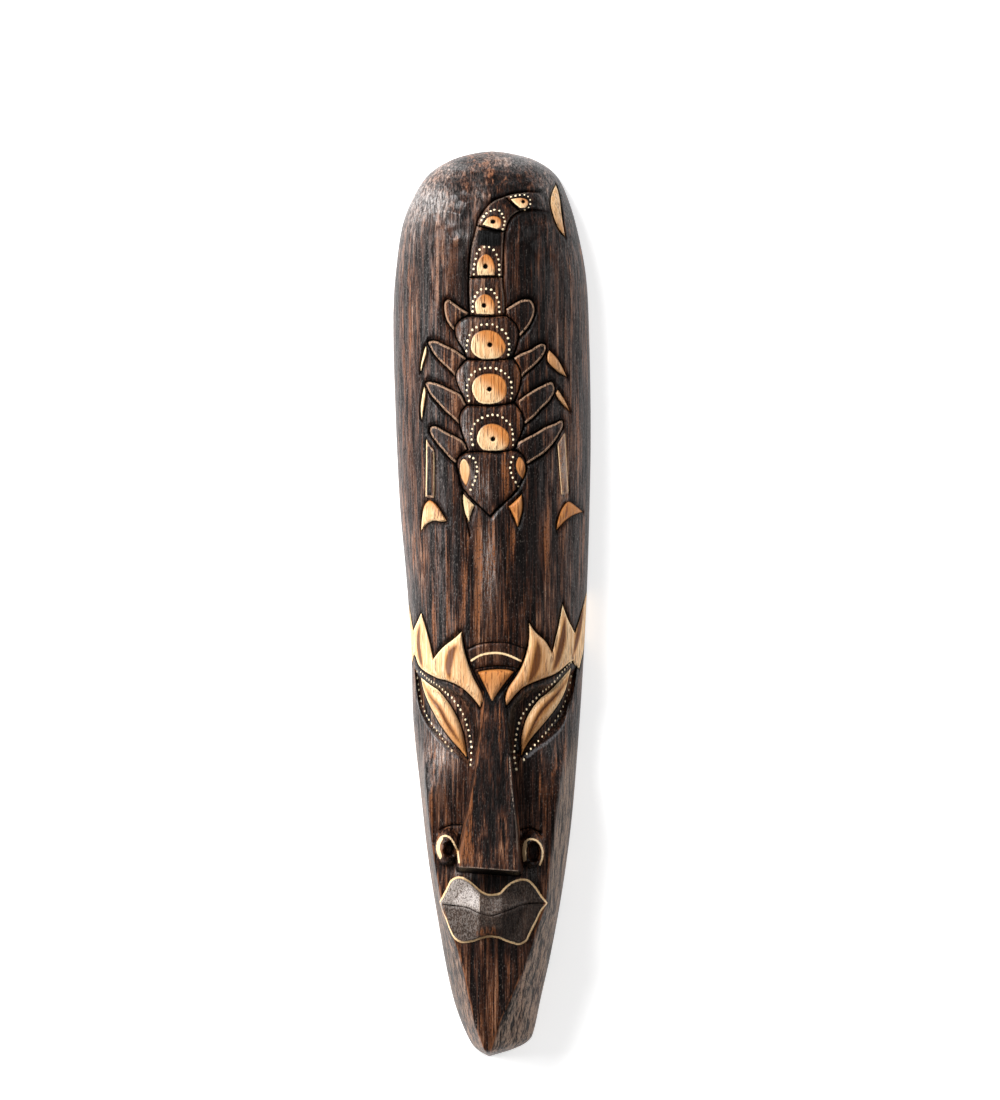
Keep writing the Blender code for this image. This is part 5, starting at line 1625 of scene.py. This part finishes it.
material = bpy.data.materials.new("stained_wood")
material.use_nodes = True
tree = material.node_tree
shader = tree.nodes["Principled BSDF"]
place = add(tree, "TexCoord", {}).outputs["Object"]
noises = add(tree, "Group", {"node_tree": grain_tree}, place)
bands, streaked, fine, strokes, specks = noises.outputs[:5]
unsteady = add(tree, "TexNoise", {}, Vector=place, Scale=RAGGED_SCALE, Detail=2.0).outputs["Fac"]
unsteady = calculate(tree, "MULTIPLY_ADD", unsteady, RAGGED, -RAGGED / 2)


def times(a, b):
    """The product of two values."""
    return calculate(tree, "MULTIPLY", a, b)


def plus(*terms):
    """A sum of terms, each a value or a (value, factor) pair."""
    total = 0.0
    for term in terms:
        value, factor = term if isinstance(term, tuple) else (term, 1.0)
        total = calculate(tree, "MULTIPLY_ADD", value, factor, total)
    return total


def sifted(start, end, *terms):
    """A mask from a sum of terms: 0 where it is at start and 1 where it is at end."""
    return between(tree, plus(*terms), start, end)


def held(name, start, end):
    """A mask from a number that the mesh holds: 0 at start and 1 at end."""
    return between(tree, attribute(tree, name), start, end)


def laid(under, mask, share, over):
    """A colour laid over another, in that share where the mask is 1."""
    return mixed(tree, times(mask, share), under, over)


orange, sheen, shade_and_dark = (attribute(tree, name) for name in ("orange", "sheen", "shade_and_dark"))
sunk = held("socket", 0.3, 2.0)
on_lip = held("lip", 0.2, 1.2)
smooth = calculate(tree, "MAXIMUM", sunk, on_lip)
tone = plus((strokes, 0.18), (specks, 0.06), (fine, 0.32), (streaked, 0.24), (bands, 0.20))
# Painted light: the sheen patches lighten the tone, and the dark patches, partly painted shade,
# darken it
tone = plus(tone, (sheen, 0.03), (shade_and_dark, -0.036), (sunk, -0.012))
tone = add(tree, "MapRange", {}, Value=tone, From_Min=0.43, From_Max=0.60).outputs[0]
stain = ramp(tree, tone, STAIN_STOPS)
paths = ((streaked, 0.6), (fine, 0.25), (bands, 0.15), (orange, 0.09), (shade_and_dark, -0.06), (smooth, -0.05))
fibres = sifted(0.545, 0.67, *paths)
fibres = times(fibres, sifted(0.38, 0.56, (strokes, 0.5), (fine, 0.5)))
stain = mixed(tree, fibres, stain, ORANGE_FIBRE)
print("stain and fibres take", len(tree.nodes), "nodes")

# %% [markdown]
# ## Painted light on the stain, and its pores
#
# The lips get painted light, one grey tone to each facet, lightest on the upper left one, which faces
# the lamp. On the sides of the jaw, pale grain strokes paint the sheen of the steep wood, and the
# bevels under the eyes get a painted grey highlight. Small light specks paint glints of the grain,
# dark pores lie everywhere, and a painted grey sheen lies where the light grazes.

# %% Painted light on lips, sides and bevels, glints and pores
LIP_LIGHT_STOPS = [
    (0.0, (0.0025, 0.0020, 0.0018)),
    (0.3, (0.014, 0.0095, 0.0080)),
    (0.6, (0.084, 0.060, 0.048)),
    (1.0, (0.52, 0.46, 0.42)),
]
FLANK_SHEEN = (0.33, 0.24, 0.18, 1)
BEVEL_HIGHLIGHT = (0.135, 0.13, 0.135, 1)
GLINT_SPECK = (0.30, 0.25, 0.21, 1)
SHEEN_GREY = (0.335, 0.31, 0.295, 1)

# Painted light on the lips, one grey tone to each facet
lip_light_tone = plus((specks, 1.7), (strokes, 0.2), attribute(tree, "lip_light_tone"), -0.97)
lip_light_colour = ramp(tree, lip_light_tone, LIP_LIGHT_STOPS)
lip_light_share = plus((between(tree, orange, 0.3, 1.2), -0.7), 0.9)
stain = laid(stain, lip_light_share, on_lip, lip_light_colour)
flank = attribute(tree, "flank")
# Pale grain strokes on the jaw's steep sides paint their sheen, less on the left side, which the lamp
# lights more
flank_sheen = sifted(0.43, 0.56, (strokes, 0.3), (fine, 0.35), (streaked, 0.35))
stain = laid(stain, times(flank_sheen, 0.65), flank, FLANK_SHEEN)
# Painted grey highlight on the bevels under the eyes
stain = laid(stain, sifted(2.2, 0.9, attribute(tree, "bevel_highlight"), (specks, 1.5)), 0.7, BEVEL_HIGHLIGHT)
# Light specks paint glints on the grain, fewer in the painted shade
stain = laid(stain, between(tree, specks, 0.37, 0.29), plus((shade_and_dark, -0.10), 0.20), GLINT_SPECK)
# Painted sheen: a grey that stands in for the wax's reflection on the sheen patches, not on the lips
sheen_mask = times(sifted(0.47, 0.60, (strokes, 0.4), (specks, 0.6)), between(tree, sheen, 0.1, 1.8))
sheen_mask = times(sheen_mask, plus((on_lip, -0.8), 1.0))
stain = laid(stain, sheen_mask, 0.8, SHEEN_GREY)
stain = laid(stain, between(tree, specks, 0.56, 0.66), 0.7, BLACK)
# The painted sheen on the dome is greyer still
saturation = plus((times(sheen, attribute(tree, "dome")), -0.32), 1.0)
stain = add(tree, "HueSaturation", {}, Saturation=saturation, Color=stain).outputs[0]
print("with lips, sides and specks", len(tree.nodes), "nodes")

# %% Worn edges, painted highlights and leg rims
WORN_BROWN = (0.23, 0.085, 0.034, 1)
EDGE_HIGHLIGHT = (0.30, 0.23, 0.18, 1)
RIM_TAN = (0.36, 0.22, 0.14, 1)

worn = times(held("ridge", 1.1, 0.2), sifted(0.42, 0.58, (streaked, 0.5), (strokes, 0.5)))
stain = laid(stain, worn, 0.9, WORN_BROWN)
# Painted highlights on those edges
painted_highlight = times(held("painted_highlight", 0.55, 0.1), sifted(0.40, 0.56, (streaked, 0.3), (specks, 0.7)))
stain = laid(stain, painted_highlight, 0.75, EDGE_HIGHLIGHT)
rim = times(held("leg", 0.35, 0.6), held("leg", 1.9, 1.4))
rim = times(rim, sifted(0.38, 0.52, (specks, 0.5), (strokes, 0.5)))
stain = laid(stain, rim, 0.9, RIM_TAN)
print("with worn edges", len(tree.nodes), "nodes")

# %% [markdown]
# ## Bare wood
#
# Bare wood is cream to orange. It is warmer where it was scorched or where some
# stain ran in, and it has the same grain as the stained wood, as thin brown
# lines. The thin lines round lips and nostrils stay pale. The streaks on the
# leaves have a dark core in an orange border.

# %% Bare wood
CREAM = (0.84, 0.58, 0.33, 1)
SCORCHED = (0.48, 0.165, 0.038, 1)
SOFT_GRAIN = (0.48, 0.215, 0.070, 1)
HARD_GRAIN = (0.13, 0.048, 0.016, 1)
LINE_CREAM = (0.98, 0.73, 0.42, 1)
BURNT_EDGE = (0.22, 0.085, 0.022, 1)
STREAK_BORDER = (0.50, 0.215, 0.060, 1)
STREAK_CORE = (0.110, 0.034, 0.009, 1)

warm = attribute(tree, "warm")
pale = mixed(tree, sifted(0.55, 1.25, warm, (bands, 0.5), (streaked, 0.35)), CREAM, SCORCHED)
thick = held("bare", 0.6, 1.2)
soft_grain = sifted(0.54, 0.44, (strokes, 0.4), (fine, 0.6))
pale = laid(pale, times(soft_grain, 0.6), thick, SOFT_GRAIN)
hard_grain = sifted(0.53, 0.61, (strokes, 0.6), (fine, 0.4))
pale = laid(pale, times(hard_grain, 0.85), thick, HARD_GRAIN)
pale = laid(pale, plus((thick, -0.5), 0.5), between(tree, warm, 0.32, 0.24), LINE_CREAM)
burnt = times(held("bare", 1.0, 0.2), sifted(0.35, 0.9, warm, (bands, 0.6)))
pale = laid(pale, burnt, 0.85, BURNT_EDGE)
streak = plus(attribute(tree, "streak"), unsteady, (strokes, 1.6))
pale = laid(pale, between(tree, streak, -0.5, 1.6), 0.75, STREAK_BORDER)
pale = laid(pale, between(tree, streak, 0.8, 3.0), 0.95, STREAK_CORE)
print("with bare wood", len(tree.nodes), "nodes")

# %% [markdown]
# ## Borders, gloss and furrows
#
# Each border is a depth compared with a width, roughened a little so that no
# border is ruled. A thin coat of wax shines on the stain, most on the grey
# patches, and hardly at all on bare wood and paint. The furrows of the grain
# are too fine for the mesh, so they are a bump.

# %% Borders, gloss and furrows
PAINT = (0.96, 0.79, 0.52, 1)
COAT_ROUGHNESS = 0.32
SPECULAR = 0.06
FURROW_DEPTH = 0.0008

# Black cuts, and the painted shadow under the nose's tip
black_and_shadow_mask = sifted(1.05, 0.65, attribute(tree, "black_and_shadow"), unsteady, (bands, 0.8))
bare = sifted(0.05, 0.3, attribute(tree, "bare"), unsteady)
painted = sifted(-0.1, 0.15, attribute(tree, "painted"), unsteady)
colour = mixed(tree, black_and_shadow_mask, stain, BLACK)
colour = mixed(tree, bare, colour, pale)
colour = mixed(tree, painted, colour, PAINT)
tree.links.new(colour, shader.inputs["Base Color"])

matt = calculate(tree, "MAXIMUM", bare, painted)
rough = add(tree, "MapRange", {}, Value=matt, To_Min=0.34, To_Max=0.60).outputs[0]
rough = plus(rough, (strokes, 0.3), (smooth, -0.06), (sheen, -0.04), -0.09)
tree.links.new(rough, shader.inputs["Roughness"])
glossy = sifted(0.39, 0.57, (strokes, 0.5), (fine, 0.3), (specks, -0.3), 0.25)
wax = times(glossy, plus((black_and_shadow_mask, -0.70), (shade_and_dark, -0.14), (sheen, 0.28), (flank, -0.5), 0.32))
tree.links.new(calculate(tree, "MAXIMUM", wax, 0.0), shader.inputs["Coat Weight"])
shader.inputs["Coat Roughness"].default_value = COAT_ROUGHNESS
shader.inputs["Specular IOR Level"].default_value = SPECULAR

furrows = plus((strokes, 0.7), (fine, 0.7), (streaked, 0.4), (specks, 0.4))
furrows = times(furrows, plus((smooth, -0.6), 1.0))
bump = add(tree, "Bump", {}, Strength=0.9, Distance=FURROW_DEPTH, Height=furrows)
tree.links.new(bump.outputs[0], shader.inputs["Normal"])
mesh.materials.append(material)
print("material stained_wood with", len(tree.nodes), "nodes")

# %% [markdown]
# ## Floor, light and camera
#
# The photograph is a cut-out on white, lit softly from the upper left, so the
# floor is plain and pale, a large lamp stands at the upper left and weaker
# ones fill in. The camera looks straight down from 12 m through a long lens,
# which hides the perspective, as the photograph does.

# %% Floor
FLOOR_SIZE = 6.0
FLOOR_GAP = 0.0005

bpy.ops.mesh.primitive_plane_add(size=FLOOR_SIZE, location=(0, 0, low.z - FLOOR_GAP))
floor = bpy.context.object
floor.name = "floor"
floor_material = bpy.data.materials.new("pale_floor")
floor_material.use_nodes = True
floor_shader = floor_material.node_tree.nodes["Principled BSDF"]
floor_shader.inputs["Base Color"].default_value = (0.9, 0.9, 0.9, 1)
floor_shader.inputs["Roughness"].default_value = 0.9
floor_shader.inputs["Specular IOR Level"].default_value = 0.1
floor_shader.inputs["Emission Color"].default_value = (1, 1, 1, 1)
floor_shader.inputs["Emission Strength"].default_value = 0.55
floor.data.materials.append(floor_material)
print(f"floor {FLOOR_SIZE} m wide")

# %% Light
world = bpy.data.worlds.new("studio")
bpy.context.scene.world = world
world.use_nodes = True
sky = world.node_tree.nodes["Background"]
sky.inputs["Color"].default_value = (1, 1, 1, 1)
sky.inputs["Strength"].default_value = 0.25
bpy.context.scene.view_settings.view_transform = "Standard"


def area_light(name, place, size, power):
    """A square lamp that faces the mask."""
    lamp = bpy.data.lights.new(name, "AREA")
    lamp.size = size
    lamp.energy = power
    holder = bpy.data.objects.new(name, lamp)
    holder.location = place
    holder.visible_camera = False
    holder.rotation_euler = (-Vector(place)).to_track_quat("-Z", "Y").to_euler()
    bpy.context.scene.collection.objects.link(holder)


area_light("key", (-1.1, 1.2, 1.3), 0.7, 60.0)
area_light("left_side", (-1.6, 0.1, 0.8), 0.9, 26.0)
area_light("right_side", (1.6, 0.4, 0.9), 0.8, 9.0)
print(f"{len(bpy.data.lights)} lamps")

# %% Camera
CAMERA_HEIGHT = 12.0
VIEW_CENTRE = (0.00445, 0.0296)  # metres, from the middle of the mask
VIEW_HEIGHT = 0.6077
SENSOR = 36.0
camera = bpy.data.cameras.new("camera")
camera.sensor_width = SENSOR
camera.sensor_fit = "AUTO"
camera.lens = SENSOR * CAMERA_HEIGHT / VIEW_HEIGHT
camera.clip_end = 40.0
viewpoint = bpy.data.objects.new("camera", camera)
viewpoint.location = (*VIEW_CENTRE, CAMERA_HEIGHT)
bpy.context.scene.collection.objects.link(viewpoint)
bpy.context.scene.camera = viewpoint
print(f"camera {CAMERA_HEIGHT} m up, lens {camera.lens:.1f} mm")
